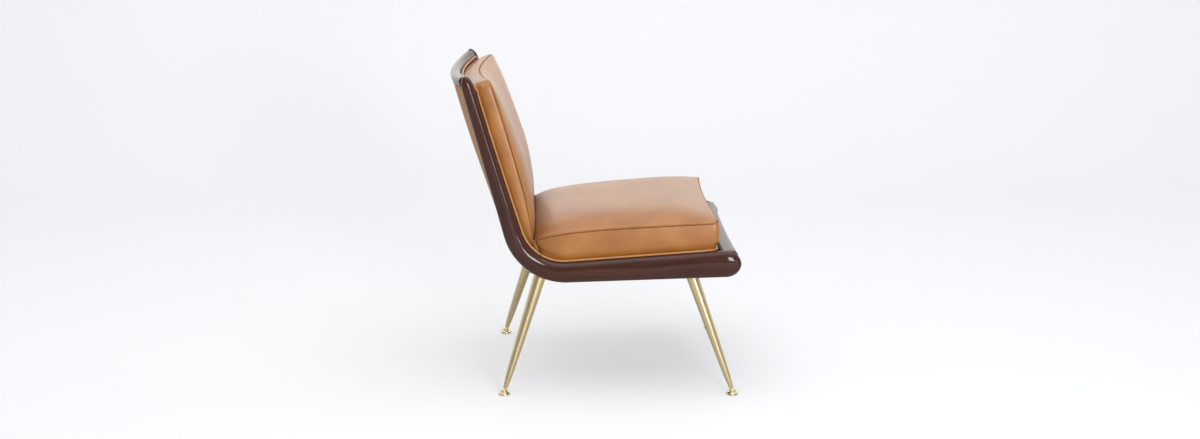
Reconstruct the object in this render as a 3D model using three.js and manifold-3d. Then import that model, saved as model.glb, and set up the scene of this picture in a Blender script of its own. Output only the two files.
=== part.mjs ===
// A low upholstered side chair, in millimetres, with +Z up, its front towards -Y and its origin
// on the floor under the middle. Each side is one L-shaped wooden member: a raked back post
// that sweeps through a bend into a seat rail with a rounded nose. Four cross rails join the
// sides, two leather cushions sit between them, and four splayed brass legs carry it, each
// with a glide that tilts on a ball.
import * as THREE from "three";
import { mergeVertices } from "three/addons/utils/BufferGeometryUtils.js";
import Module from "manifold-3d";

const wasm = await Module();
wasm.setup();

const { clamp, degToRad, lerp, smoothstep } = THREE.MathUtils;

// Overall sizes
const overallDepth = 698.2; // tips of the noses to the back of the crest rail
const midHalfWidth = 270.5; // centre plane to a side frame's outer face, half way along the depth
const sideFlare = degToRad(4.05); // each side frame opens outwards to the front
const backRake = degToRad(15); // lean of the back posts
const railRise = degToRad(2.5); // climb of the seat rails to the front

// Side frames: lengths from the heel, where the rear line of a post and the lower line of its
// rail would cross, and widths in the plane of the frame
const postLength = 519.5;
const bendRadius = 152; // of the outer edge
const frameThickness = 23;
const faceDepth = 15; // of the rounded outer face; the rest is the flatter inner half
const postTopWidth = 29.5;
const postFootWidth = 42;
const railRearWidth = 49.5;
const railFrontWidth = 64.6;
const postTipLength = 28.5;
const noseLength = 37;
const scarfSetback = 20; // post and rail meet this far in front of the bend
const outerFaceRoundness = 2.1; // superellipse power of the outer face
const innerFaceRoundness = 5; // and of the inner half, which is nearly flat

// Fits
const gap = 0.3; // between pieces that touch
const drape = 1.6; // a bowed sheet clears what it lies on by this much
const tenonDepth = 13; // a tenon's reach into a side frame
const overrun = 2; // a cut runs this far past the face that it opens

// Crest rail, by its distances below the tips of the posts, along the rake
const crestFootFall = 25.5;
const crestEndFall = 2.5;
const crestMiddleFall = 6;
const crestThickness = 26;
const crestFoot = postLength - crestFootFall;
const crestEndTop = postLength - crestEndFall;
const crestMiddleTop = postLength - crestMiddleFall;
const crestBow = 30; // the middle lies this far behind the ends

// Other cross rails
const frontRailDepth = 46;
const frontRailSetback = 4; // behind the tip of the nose
const frontRailBow = 5;
const frontRailInset = 2; // above the lower line and below the top line of the side rail
const rearRailHeight = 34;
const rearRailThickness = 20;
const rearRailAngle = degToRad(50); // round the bend, from its front end
const rearRailInset = 3;
const backRailFoot = 130;
const backRailHeight = 52;

// Floating tenons
const crestTenon = { length: 24, height: 10, thickness: 6 };
const frontTenon = { length: 28, height: 30, thickness: 10 };
const rearTenon = { length: 28, height: 18, thickness: 8 };
const scarfTenon = { length: 44, height: 28, thickness: 8 };

// Back panels, as depths in front of the line of the posts' rear edges
const outsideBackInset = 2;
const outsideBackThickness = 2.5;
const backPanelInset = 16;
const backPanelThickness = 6;
const backPanelFoot = 88;
const outsideBackFootAngle = degToRad(58); // it ends this far round the bend, above the rear rail

// Seat
const deckTop = 47; // above the lower line of the rails
const deckThickness = 9;
const deckRear = 60; // in front of the heel
const dustCoverThickness = 1.2;
const blockWidth = 58;
const blockAhead = 30; // from the leg, along the rail
const blockBehind = 30;

// Cushions: a leather cover with its wadding, over foam
const coverThickness = 3; // at the walls
const waddingThickness = 8; // under the crown
const cushionCorner = 16;
const seamGroove = 1.4;
const seamLip = 3; // the wall rolls in to the seam over this height
const seatRear = 43.6; // its rear wall lies against the foot of the back cushion
const seatRearDraft = 12.4; // the foot of the rear wall stands this far in front of its top
const seatRearPress = 6.9; // the back's crown presses the middle of the wall in by this much
const seatFrontSetback = 47; // behind the tip of the nose
const seatFrontDraft = 9; // and that of the front wall this far behind its top
const seatFrontPull = 7; // the middle of the front seam is drawn in by this much
const seatSeamHeight = 130; // at the front, above the lower line of the rails
const seatSeamSlope = 9.5;
const seatSeamDrop = 17.5; // the seam dips by this much more at the rear
const seatCrown = 32;
const backTopRise = 1; // over the foot of the crest rail
const backFoot = 67;
const backFootDraft = 20;
const backTop = crestFoot + backTopRise;
const backSeamDepth = 75.8; // in front of the posts' rear edges, at the fullest height
const backSeamTopFall = 5.8;
const backSeamFootFall = 15;
const backCrown = 35;
const footInset = 3; // the walls stand in from the frame beside the welt
const wallInset = 0.5; // and above it
const wallSwell = 16; // from one to the other

// Welts
const weltRadius = 2.5;
const weltSetback = 5; // its centre line lies this far out from the frame's inner face

// Legs
// Centre of the ball to the face of the corner block; the front legs are longer, because the
// rails climb to the front
const frontLegLength = 316;
const rearLegLength = 300;
// How far a foot stands ahead of or behind the leg's top
const frontSplayRun = 106;
const rearSplayRun = 87.5;
const heelDrop = 19.8; // the heel is this far below the face that the rear leg meets
const legTopInset = 41; // from the frame's outer face
const frontFootInset = 11;
const rearFootInset = -7.6;
const rearFootSetback = 33.5; // behind the heel
const glideSetback = 2.7; // from the tips of the noses to the front glides
const legTopRadius = 15;
const legCalfRadius = 10.2;
const legCalfHeight = 110;
const legAnkleRadius = 8.1;
const legAnkleHeight = 42;
const legToeRadius = 5.5;
const legToeHeight = 8;
const plateLength = 62;
const plateWidth = 32;
const plateThickness = 3;
const plateCorner = 6;
const screwSpacing = 44;
const screwRadius = 2;
const screwHeadRadius = 4;
const screwHeadHeight = 2.2;
const screwLength = 9;
const studRadius = 4;
const studInLeg = 18;
const studInBlock = 11;
const studChamfer = 0.8;

// Glides
const ballRadius = 6;
const ballNeckRadius = 2.9;
const ballShankRadius = 3.4;
const ballShankLength = 24;
const ballHeight = 9; // centre of the ball above the floor
const cupClearance = 0.3;
const cupLipHeight = 3; // above the centre of the ball
const glideRadius = 14.5;
const glideRimHeight = 2.2;
const glideChamfer = 0.7;
const glideWaistRadius = 8.4;
const glideLipRadius = 7.9;

// Counts and other plain numbers
const sectionPoints = 16;
const turnedSides = 16;
const postSteps = 5;
const bendSteps = 10;
const railSteps = 3;
const tipSteps = 4;
const noseSteps = 5;
const crossSteps = 12;
const weltSteps = 5;
const weltCornerSteps = 4;
const weltTopSteps = 8;
const cornerSteps = 3;
const edgeSteps = 5;
const sheetRows = 6;
const weltSides = 6;
const mergeDistance = 1e-3;

// Height of a leg's upper end above its ball
function legRise(length, footInset, splayRun) {
  const run = legTopInset - footInset;
  return Math.sqrt(length ** 2 - run ** 2 - splayRun ** 2);
}

// The crest's rounded section reaches furthest back at the middle of the chair
const crestReach = Math.max(
  ...crestSection(0).map((p) => p.up * Math.sin(backRake) - p.deep * Math.cos(backRake)),
);
const heelY = overallDepth / 2 - crestReach;
const heelHeight = ballHeight + legRise(rearLegLength, rearFootInset, rearSplayRun) - heelDrop;
const frontFootY = -overallDepth / 2 + glideSetback + glideRadius;
const rearFootY = heelY + rearFootSetback;
const tipThicknessShare = 0.45; // of a rounded end, against the full section
const tipInward = faceDepth + (frameThickness - faceDepth) * tipThicknessShare;
const noseY = (overallDepth / 2 - tipInward * Math.sin(sideFlare)) / Math.cos(sideFlare);
const railLength =
  (noseY + heelY + (railFrontWidth / 2) * Math.sin(railRise)) / Math.cos(railRise);
const seatFront = railLength - seatFrontSetback;

// The two straight stretches and the bend between them
const turn = Math.PI / 2 - backRake + railRise;
const bendReach = bendRadius * Math.tan(turn / 2); // heel to either end of the bend
const postRun = postLength - bendReach;
const bendRun = bendRadius * turn;
const scarfAt = postRun + bendRun + scarfSetback;
const frameRun = postRun + bendRun + railLength - bendReach;

// A point by its height along the rake above the heel and its depth in front of the rear line
function backPoint(up, deep) {
  return {
    y: heelY + up * Math.sin(backRake) - deep * Math.cos(backRake),
    z: heelHeight + up * Math.cos(backRake) + deep * Math.sin(backRake),
  };
}

// A point by its distance in front of the heel and its height over the lower line of the rail
function railPoint(ahead, over) {
  return {
    y: heelY - ahead * Math.cos(railRise) + over * Math.sin(railRise),
    z: heelHeight + ahead * Math.sin(railRise) + over * Math.cos(railRise),
  };
}

// A point of the bend, by its angle from the bend's front end, its depth, and a slide forwards
function bendPoint(angle, deep, slide = 0) {
  const reach = bendRadius - deep;
  return railPoint(
    bendReach - reach * Math.sin(angle) + slide * Math.cos(angle),
    bendRadius - reach * Math.cos(angle) - slide * Math.sin(angle),
  );
}

// A point of the side frame, by the run of its outer edge from the tip of the post
function framePoint(run, deep) {
  if (run < postRun) return backPoint(postLength - run, deep);
  if (run < postRun + bendRun) return bendPoint(turn - (run - postRun) / bendRadius, deep);
  return railPoint(bendReach + run - postRun - bendRun, deep);
}

// The side frame's width there: a slim post, a wider bend, a rail that grows to the front
function frameWidth(run) {
  const postTaper = 1.45;
  if (run < postRun) {
    return lerp(postTopWidth, postFootWidth, Math.max(0, run / postRun) ** postTaper);
  }
  if (run < postRun + bendRun) {
    return lerp(postFootWidth, railRearWidth, (run - postRun) / bendRun);
  }
  const railShare = (run - postRun - bendRun) / (frameRun - noseLength - postRun - bendRun);
  return lerp(railRearWidth, railFrontWidth, Math.min(1, railShare));
}

// Sign-keeping power, for superellipses
function power(value, exponent) {
  return Math.sign(value) * Math.abs(value) ** exponent;
}

// A superellipse about a centre, with one power for its upper half and one for its lower half
function roundSection(centreUp, centreDeep, halfHeight, halfThickness, upperPower, lowerPower) {
  return Array.from({ length: sectionPoints }, (_, i) => {
    const angle = (2 * Math.PI * (i + 0.5)) / sectionPoints;
    const exponent = 2 / (Math.sin(angle) > 0 ? upperPower : lowerPower);
    return {
      up: centreUp + halfHeight * power(Math.sin(angle), exponent),
      deep: centreDeep + halfThickness * power(Math.cos(angle), exponent),
    };
  });
}

// How far the back bows to the rear: nothing at the frames and at the foot of the panel
function bowAt(share, up) {
  const bowPower = 2.1;
  const height = clamp((up - backPanelFoot) / (crestFoot - backPanelFoot), 0, 1);
  return crestBow * (1 - (1 - height) ** bowPower) * (1 - share * share);
}

function crestSection(share) {
  const top = lerp(crestMiddleTop, crestEndTop, share * share);
  const middle = (top + crestFoot) / 2;
  const half = crestThickness / 2;
  const crestTopRoundness = 2.4;
  const crestFootRoundness = 6;
  const section = roundSection(middle, half, middle - crestFoot, half, crestTopRoundness,
    crestFootRoundness);
  return section.map((p) => ({ up: p.up, deep: p.deep - bowAt(share, crestFoot) }));
}

// Distance from the centre plane to the inner face of a side frame
function halfInside(y) {
  return midHalfWidth - y * Math.tan(sideFlare) - frameThickness / Math.cos(sideFlare);
}

// Solids and geometry

// A closed solid through a row of rings with equal counts of points, its ends closed by fans
function loft(rings) {
  const count = rings[0].length;
  const points = rings.flat();
  const ends = [rings[0], rings[rings.length - 1]].map((ring) =>
    ring.reduce((sum, p) => sum.add(p), new THREE.Vector3()).divideScalar(count));
  const index = [];
  for (let r = 0; r + 1 < rings.length; r += 1) {
    for (let i = 0; i < count; i += 1) {
      const a = r * count + i;
      const b = r * count + ((i + 1) % count);
      index.push(a, b, b + count, a, b + count, a + count);
    }
  }
  const last = (rings.length - 1) * count;
  for (let i = 0; i < count; i += 1) {
    const next = (i + 1) % count;
    index.push(points.length, next, i, points.length + 1, last + i, last + next);
  }
  const geometry = new THREE.BufferGeometry().setFromPoints([...points, ...ends]);
  geometry.setIndex(signedVolume([...points, ...ends], index) < 0 ? index.reverse() : index);
  geometry.computeVertexNormals();
  return geometry;
}

function signedVolume(points, index) {
  let sum = 0;
  for (let i = 0; i < index.length; i += 3) {
    const [a, b, c] = [points[index[i]], points[index[i + 1]], points[index[i + 2]]];
    sum += a.dot(new THREE.Vector3().crossVectors(b, c));
  }
  return sum;
}

// A geometry, moved by a matrix, as a manifold solid
function solidOf(geometry, matrix = new THREE.Matrix4()) {
  const bare = new THREE.BufferGeometry();
  bare.setAttribute("position", geometry.getAttribute("position").clone());
  bare.setIndex(geometry.index);
  const merged = mergeVertices(bare.applyMatrix4(matrix), mergeDistance);
  const triVerts = new Uint32Array(merged.index.array);
  if (matrix.determinant() < 0) triVerts.reverse();
  const vertProperties = new Float32Array(merged.attributes.position.array);
  return new wasm.Manifold(new wasm.Mesh({ numProp: 3, vertProperties, triVerts }));
}

function geometryOf(solid) {
  const mesh = solid.getMesh();
  const geometry = new THREE.BufferGeometry();
  geometry.setAttribute("position", new THREE.BufferAttribute(mesh.vertProperties, 3));
  geometry.setIndex(new THREE.BufferAttribute(mesh.triVerts, 1));
  geometry.computeVertexNormals();
  return geometry;
}

// A geometry less a list of cutters, each a geometry with the matrix that places it
function cut(geometry, cutters) {
  let solid = solidOf(geometry);
  for (const [cutter, matrix] of cutters) {
    solid = solid.subtract(solidOf(cutter, matrix));
  }
  return geometryOf(solid);
}

// A turned piece about +Z, from its profile of [radius, height] pairs
function turned(profile) {
  const points = profile.map(([radius, height]) => new THREE.Vector2(radius, height));
  return new THREE.LatheGeometry(points, turnedSides).rotateX(Math.PI / 2);
}

// A thin tube with a ring at each point of its line
function tube(points, radius) {
  const sideways = new THREE.Vector3();
  return loft(points.map((point, r) => {
    const before = points[Math.max(r - 1, 0)];
    const after = points[Math.min(r + 1, points.length - 1)];
    const along = after.clone().sub(before).normalize();
    if (r === 0) sideways.set(0, 0, 1);
    sideways.addScaledVector(along, -sideways.dot(along)).normalize();
    const up = new THREE.Vector3().crossVectors(along, sideways);
    return Array.from({ length: weltSides }, (_, i) => {
      const angle = (2 * Math.PI * i) / weltSides;
      return point.clone()
        .addScaledVector(sideways, radius * Math.cos(angle))
        .addScaledVector(up, radius * Math.sin(angle));
    });
  }));
}

// Side frames

// One ring of the side frame's section, drawn in at the rounded ends
function frameRing(run, narrowing = 1) {
  const width = frameWidth(run);
  const thinning = lerp(tipThicknessShare, 1, narrowing);
  return Array.from({ length: sectionPoints }, (_, i) => {
    const angle = (2 * Math.PI * (i + 0.5)) / sectionPoints;
    const inner = Math.sin(angle) > 0;
    const exponent = 2 / (inner ? innerFaceRoundness : outerFaceRoundness);
    const across = power(Math.cos(angle), exponent) * narrowing;
    const through = power(Math.sin(angle), exponent) * thinning;
    const at = framePoint(run, (width / 2) * (1 + across));
    const depth = inner ? frameThickness - faceDepth : faceDepth;
    return new THREE.Vector3(faceDepth + depth * through, at.y, at.z);
  });
}

// Rings that round off an end over a length, from its tip inwards
function endRings(tipRun, length, steps) {
  return Array.from({ length: steps }, (_, i) => {
    const angle = ((i + 0.5) / steps) * (Math.PI / 2);
    return frameRing(tipRun + length * (1 - Math.cos(angle)), Math.sin(angle));
  });
}

function runsBetween(start, end, steps) {
  return Array.from({ length: steps + 1 }, (_, i) => lerp(start, end, i / steps));
}

function postGeometry() {
  const straight = runsBetween(postTipLength, postRun, postSteps);
  const bend = runsBetween(postRun, postRun + bendRun, bendSteps).slice(1);
  return loft([
    ...endRings(0, postTipLength, tipSteps),
    ...[...straight, ...bend, scarfAt - gap / 2].map((run) => frameRing(run)),
  ]);
}

function railGeometry() {
  const straight = runsBetween(scarfAt + gap / 2, frameRun - noseLength, railSteps);
  return loft([
    ...straight.map((run) => frameRing(run)),
    ...endRings(frameRun, -noseLength, noseSteps).reverse(),
  ]);
}

// Floating tenons: boxes in the side's own frame, each with the matrix that places it there

function tenonGeometry(tenon, clearance = 0) {
  return new THREE.BoxGeometry(
    tenon.length + clearance,
    tenon.thickness + clearance,
    tenon.height + clearance,
  );
}

// A tenon through the inner face of the side frame, tipped with the member that it joins
function crossTenonMatrix(tenon, at, tilt) {
  const across = frameThickness - tenonDepth + tenon.length / 2;
  return new THREE.Matrix4().makeTranslation(across, at.y, at.z)
    .multiply(new THREE.Matrix4().makeRotationX(tilt));
}

const scarfMatrix = (() => {
  const at = framePoint(scarfAt, frameWidth(scarfAt) / 2);
  return new THREE.Matrix4().makeTranslation(frameThickness / 2, at.y, at.z)
    .multiply(new THREE.Matrix4().makeRotationX(-railRise))
    .multiply(new THREE.Matrix4().makeRotationZ(Math.PI / 2));
})();
const crestTenonMatrix = crossTenonMatrix(
  crestTenon,
  backPoint((crestFoot + crestEndTop) / 2, crestThickness / 2),
  -backRake,
);
const frontRailMiddle = railLength - frontRailSetback - frontRailDepth / 2;
const frontTenonMatrix = crossTenonMatrix(
  frontTenon,
  railPoint(frontRailMiddle, railFrontWidth / 2),
  -railRise,
);
const rearTenonMatrix = crossTenonMatrix(
  rearTenon,
  bendPoint(rearRailAngle, rearRailInset + rearRailThickness / 2),
  rearRailAngle - railRise,
);

const sideMatrix = new THREE.Matrix4().makeTranslation(-midHalfWidth, 0, 0)
  .multiply(new THREE.Matrix4().makeRotationZ(-sideFlare));
const mirror = new THREE.Matrix4().makeScale(-1, 1, 1);

// The pockets of one tenon in a piece that runs from side to side
function crossPockets(tenon, matrix) {
  const right = sideMatrix.clone().multiply(matrix);
  const left = mirror.clone().multiply(right);
  const pocket = tenonGeometry(tenon, 2 * gap);
  return [[pocket, right], [pocket, left]];
}

// Cross rails and panels

// Rings of a piece that fills the width between the side frames
function crossLoft(section, shares) {
  return loft(shares.map((share) =>
    section(share).map(({ y, z }) => new THREE.Vector3(share * (halfInside(y) - gap), y, z))));
}

function evenShares(steps) {
  return Array.from({ length: steps + 1 }, (_, i) => (2 * i) / steps - 1);
}

function crestGeometry() {
  const body = crossLoft((share) => crestSection(share).map((p) => backPoint(p.up, p.deep)),
    evenShares(crossSteps));
  return cut(body, crossPockets(crestTenon, crestTenonMatrix));
}

function frontRailGeometry() {
  const frontRailRoundness = 3.2;
  const half = railFrontWidth / 2;
  const body = crossLoft((share) => {
    const setback = frontRailBow * (1 - share * share);
    const section = roundSection(half, frontRailMiddle - setback, half - frontRailInset,
      frontRailDepth / 2, frontRailRoundness, frontRailRoundness);
    return section.map((p) => railPoint(p.deep, p.up));
  }, evenShares(8));
  return cut(body, crossPockets(frontTenon, frontTenonMatrix));
}

function rearRailGeometry() {
  const rearRailRoundness = 3.5;
  const body = crossLoft(() => {
    const section = roundSection(0, rearRailInset + rearRailThickness / 2, rearRailHeight / 2,
      rearRailThickness / 2, rearRailRoundness, rearRailRoundness);
    return section.map((p) => bendPoint(rearRailAngle, p.deep, p.up));
  }, evenShares(2));
  return cut(body, crossPockets(rearTenon, rearTenonMatrix));
}

// The corners of an upright slab, as [height, depth] pairs along the back
function slabPoints(corners, share) {
  return corners.map(([up, deep]) => backPoint(up, deep - bowAt(share, up)));
}

// Heights up the back, closer together at its foot, where the bow grows fastest
function sheetHeights(foot, top) {
  const crowding = 1.4;
  return runsBetween(0, 1, sheetRows).map((share) => lerp(foot, top, share ** crowding));
}

function backRailGeometry() {
  const rear = outsideBackInset + outsideBackThickness + drape;
  const front = backPanelInset - drape;
  const top = backRailFoot + backRailHeight;
  const corners = [[backRailFoot, rear], [backRailFoot, front], [top, front], [top, rear]];
  return crossLoft((share) => slabPoints(corners, share), evenShares(6));
}

function backPanelGeometry() {
  const front = backPanelInset + backPanelThickness;
  const top = crestFoot - gap;
  const ups = sheetHeights(backPanelFoot, top);
  const corners = [
    ...ups.map((up) => [up, backPanelInset]),
    ...ups.map((up) => [up, front]).reverse(),
  ];
  return crossLoft((share) => slabPoints(corners, share), evenShares(crossSteps));
}

function outsideBackGeometry() {
  const front = outsideBackInset + outsideBackThickness;
  const bendShares = [0.5, 1];
  const leaf = (share, deep) => [
    ...slabPoints(sheetHeights(bendReach, crestFoot - gap).reverse().map((up) => [up, deep]), share),
    ...bendShares.map((part) => {
      const bow = bowAt(share, bendReach) * (1 - part) ** 2;
      return bendPoint(lerp(turn, outsideBackFootAngle, part), deep - bow);
    }),
  ];
  return crossLoft((share) => [
    ...leaf(share, outsideBackInset),
    ...leaf(share, front).reverse(),
  ], evenShares(crossSteps));
}

function railSlab(rear, front, low, high) {
  return crossLoft(() => [
    railPoint(rear, low), railPoint(front, low), railPoint(front, high), railPoint(rear, high),
  ], evenShares(1));
}

const frontRailRear = railLength - frontRailSetback - frontRailDepth - frontRailBow;
const deckFront = frontRailRear - gap;
const deckFoot = deckTop - deckThickness;

// Cushions

// A rounded rectangle as pairs of shares: -1 to 1 across and 0 to 1 along
function loopShares(halfWidth, length) {
  const across = cushionCorner / halfWidth;
  const along = cushionCorner / length;
  const corners = [[1, 1, 0], [-1, 1, 1], [-1, -1, 2], [1, -1, 3]];
  const arcs = corners.map(([sideX, sideY, quarter]) =>
    Array.from({ length: cornerSteps + 1 }, (_, i) => {
      const angle = (quarter + i / cornerSteps) * (Math.PI / 2);
      return [
        sideX * (1 - across) + across * Math.cos(angle),
        0.5 + sideY * (0.5 - along) + along * Math.sin(angle),
      ];
    }));
  return arcs.flatMap((arc, i) => {
    const [from, to] = [arc[cornerSteps], arcs[(i + 1) % arcs.length][0]];
    const edge = Array.from({ length: edgeSteps }, (_, k) => {
      const share = (k + 1) / (edgeSteps + 1);
      return [lerp(from[0], to[0], share), lerp(from[1], to[1], share)];
    });
    return [...arc, ...edge];
  });
}

// Depth of a side frame's inner edge in the bend, short of the bend's end by fall, where the
// frame has the given width; past the end it is the width itself
function innerEdge(fall, width) {
  return bendRadius - Math.sqrt((bendRadius - width) ** 2 - Math.max(0, fall) ** 2);
}

// The seam of the seat cushion over the lower line of the rails, by the share along the seat
function seatSeam(along) {
  const dipPower = 6;
  const back = 1 - along;
  return seatSeamHeight - seatSeamSlope * back - seatSeamDrop * back ** dipPower;
}

// The fullness of a crown across the cushion: flat in the middle, steep at the seams
function acrossFullness(across) {
  const flatness = 4;
  const steepness = 0.62;
  return Math.max(0, 1 - Math.abs(across) ** flatness) ** steepness;
}

function seatFullness(along) {
  const rearFallShare = 0.24;
  const rearRollShare = 0.15;
  const frontPower = 12;
  const frontSteepness = 0.7;
  const roll = 1 - rearFallShare * Math.max(0, 1 - along / rearRollShare) ** 2;
  return roll * Math.max(0, 1 - along ** frontPower) ** frontSteepness;
}

function backFullness(along) {
  const fullAt = 0.5;
  const footPower = 1.6;
  const fallShare = 0.55;
  const topPower = 14;
  const topSteepness = 0.6;
  const foot = 1 - Math.max(0, 1 - along / fullAt) ** footPower;
  const fall = 1 - fallShare * Math.max(0, along - fullAt);
  return foot * fall * Math.max(0, 1 - along ** topPower) ** topSteepness;
}

const seatCushion = {
  halfWidth: midHalfWidth - frameThickness,
  length: seatFront - seatRear,
  foot: deckTop + gap,
  crown: seatCrown,
  fullness: seatFullness,
  seam: seatSeam,
  // The frame's inner edge beside the wall, over the lower line of the rail
  edge(along) {
    const ahead = lerp(seatRear, seatFront, along);
    const width = frameWidth(postRun + bendRun + ahead - bendReach);
    return innerEdge(bendReach - ahead, width);
  },
  place(across, along, height, inset) {
    const wall = clamp((height - this.foot) / (seatSeam(along) - this.foot), 0, 1);
    const pressPower = 3;
    const press = seatRearPress * acrossFullness(across) * wall ** pressPower;
    const rear = seatRear + seatRearDraft * (1 - wall) + press + inset;
    const pull = seatFrontPull * (1 - across * across) * wall;
    const front = seatFront - seatFrontDraft * (1 - wall) - pull - inset;
    const at = railPoint(lerp(rear, front, along), height);
    return new THREE.Vector3(across * (halfInside(at.y) - inset), at.y, at.z);
  },
};

const backCushion = {
  halfWidth: halfInside(backPoint((backFoot + backTop) / 2, 0).y),
  length: backTop - backFoot,
  foot: backPanelInset + backPanelThickness + drape,
  crown: backCrown,
  fullness: backFullness,
  // The front seam stands fullest a little below the middle, and falls no more behind the seat
  seam(along) {
    const fullestAt = 0.394;
    const lowestShare = 0.843;
    const above = clamp((along - fullestAt) / (1 - fullestAt), 0, 1);
    const below = clamp((fullestAt - along) / fullestAt, 0, lowestShare);
    return backSeamDepth - backSeamTopFall * above ** 2 - backSeamFootFall * below ** 2;
  },
  edge(along) {
    const up = lerp(backFoot, backTop, along);
    return innerEdge(bendReach - up, frameWidth(postLength - up));
  },
  place(across, along, height, inset) {
    const wall = clamp((height - this.foot) / (this.seam(along) - this.foot), 0, 1);
    const foot = backFoot + backFootDraft * (1 - wall) + inset;
    const up = lerp(foot, backTop - inset, along);
    const at = backPoint(up, height - bowAt(across, up));
    return new THREE.Vector3(across * (halfInside(at.y) - inset), at.y, at.z);
  },
};

function crownAt(cushion, across, along) {
  return cushion.crown * acrossFullness(across) * cushion.fullness(along);
}

// The top of the welt that lies beside the cushion
function weltTop(cushion, along) {
  return cushion.edge(along) + 2 * weltRadius + 2 * gap;
}

// A point of the cushion's skin, which stands clear of the welt and swells out above it
function skinPoint(cushion, across, along, height, inset) {
  const low = weltTop(cushion, along);
  const swell = smoothstep(height, low, low + wallSwell);
  return cushion.place(across, along, height, inset + lerp(footInset, wallInset, swell));
}

// A ring of a cushion's wall: level 0 is the foot and 1 is the seam
function wallRing(cushion, level, inset = 0, drop = 0) {
  return loopShares(cushion.halfWidth, cushion.length).map(([across, along]) => {
    const height = lerp(cushion.foot, cushion.seam(along), level) - drop;
    return skinPoint(cushion, across, along, height, inset);
  });
}

// A ring of the wall just over the welt, or at most some way up to the seam
function weltRing(cushion) {
  const highest = 0.72;
  return loopShares(cushion.halfWidth, cushion.length).map(([across, along]) => {
    const limit = lerp(cushion.foot, cushion.seam(along), highest);
    const height = Math.min(weltTop(cushion, along), limit);
    return skinPoint(cushion, across, along, height, 0);
  });
}

// A ring of the crown, drawn in towards the middle to a share of its size
function crownRing(cushion, share, drop = 0, inset = 0) {
  return loopShares(cushion.halfWidth, cushion.length).map(([edgeAcross, edgeAlong]) => {
    const across = edgeAcross * share;
    const along = lerp(0.5, edgeAlong, share);
    const height = cushion.seam(along) + crownAt(cushion, across, along) - drop;
    return cushion.place(across, along, height, inset + wallInset);
  });
}

const crownShares = [0.985, 0.94, 0.84, 0.66, 0.4, 0.12];
const innerCrownShares = [0.3, 0.66, 0.9];
const floorShares = [0.7, 0.35];

// The rings of the space inside a cover, from the middle of its crown to its foot
function innerRings(cushion, clearance) {
  const inset = coverThickness + clearance;
  const wallTop = wallRing(cushion, 1, inset, waddingThickness + clearance);
  const drop = waddingThickness + clearance;
  return [
    ...innerCrownShares.map((share) => crownRing(cushion, share, drop, inset + footInset)),
    wallTop,
    wallRing(cushion, 0, inset),
  ];
}

function coverGeometry(cushion) {
  return loft([
    ...innerRings(cushion, 0),
    wallRing(cushion, 0),
    weltRing(cushion),
    wallRing(cushion, 1, 0, seamLip),
    wallRing(cushion, 1, seamGroove),
    ...crownShares.map((share) => crownRing(cushion, share)),
  ]);
}

// Foam, with rings on its floor so that it follows the bow of what carries it
function foamGeometry(cushion) {
  const floorRings = floorShares.map((share) =>
    loopShares(cushion.halfWidth, cushion.length).map(([across, along]) =>
      skinPoint(cushion, across * share, lerp(0.5, along, share), cushion.foot,
        coverThickness + gap)));
  return loft([...innerRings(cushion, gap), ...floorRings]);
}

// Welts

// A point in a side frame, moved into the chair and mirrored for the left side
function sidePoint(inward, at, left) {
  const point = new THREE.Vector3(inward, at.y, at.z).applyMatrix4(sideMatrix);
  return left ? point.applyMatrix4(mirror) : point;
}

// Points beside the inner edge of a side frame, at given runs; towards the corner of the
// cushion they come in to the frame's inner face
function edgePoints(runs, cornerRun, left) {
  return runs.map((run) => {
    const out = weltSetback * smoothstep(Math.abs(run - cornerRun), 0, weltCorner);
    const at = framePoint(run, frameWidth(run) + weltRadius + 2 * gap);
    return sidePoint(frameThickness - out, at, left);
  });
}

// The welts meet where the two cushions meet, low in the bend
const meetingShare = 0.52;
const weltMeeting = postRun + bendRun * meetingShare;
const weltCorner = cushionCorner + weltRadius + gap;
const cornerAngles = runsBetween(0, Math.PI / 2, weltCornerSteps).slice(1);

function seatWeltGeometry() {
  const lie = railFrontWidth - frontRailInset + weltRadius + gap;
  const wallShare = (lie - deckTop) / (seatSeamHeight - deckTop);
  const wall = seatFront - seatFrontDraft * (1 - wallShare) - footInset;
  const ahead = wall + weltRadius + gap;
  const bendEnd = postRun + bendRun;
  const sideEnd = bendEnd + ahead - weltCorner - bendReach;
  const sideRuns = [
    ...runsBetween(weltMeeting + 2 * gap, bendEnd, weltSteps),
    ...runsBetween(bendEnd, sideEnd, railSteps).slice(1),
  ];
  const corner = (angle, side) => {
    const at = railPoint(ahead - weltCorner * (1 - Math.sin(angle)), lie);
    const half = halfInside(at.y) - weltCorner * (1 - Math.cos(angle));
    return new THREE.Vector3(side * half, at.y, at.z);
  };
  return tube([
    ...edgePoints(sideRuns, sideEnd, false),
    ...cornerAngles.map((angle) => corner(angle, -1)),
    ...cornerAngles.map((angle) => corner(angle, 1)).reverse(),
    ...edgePoints(sideRuns, sideEnd, true).reverse(),
  ], weltRadius);
}

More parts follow.
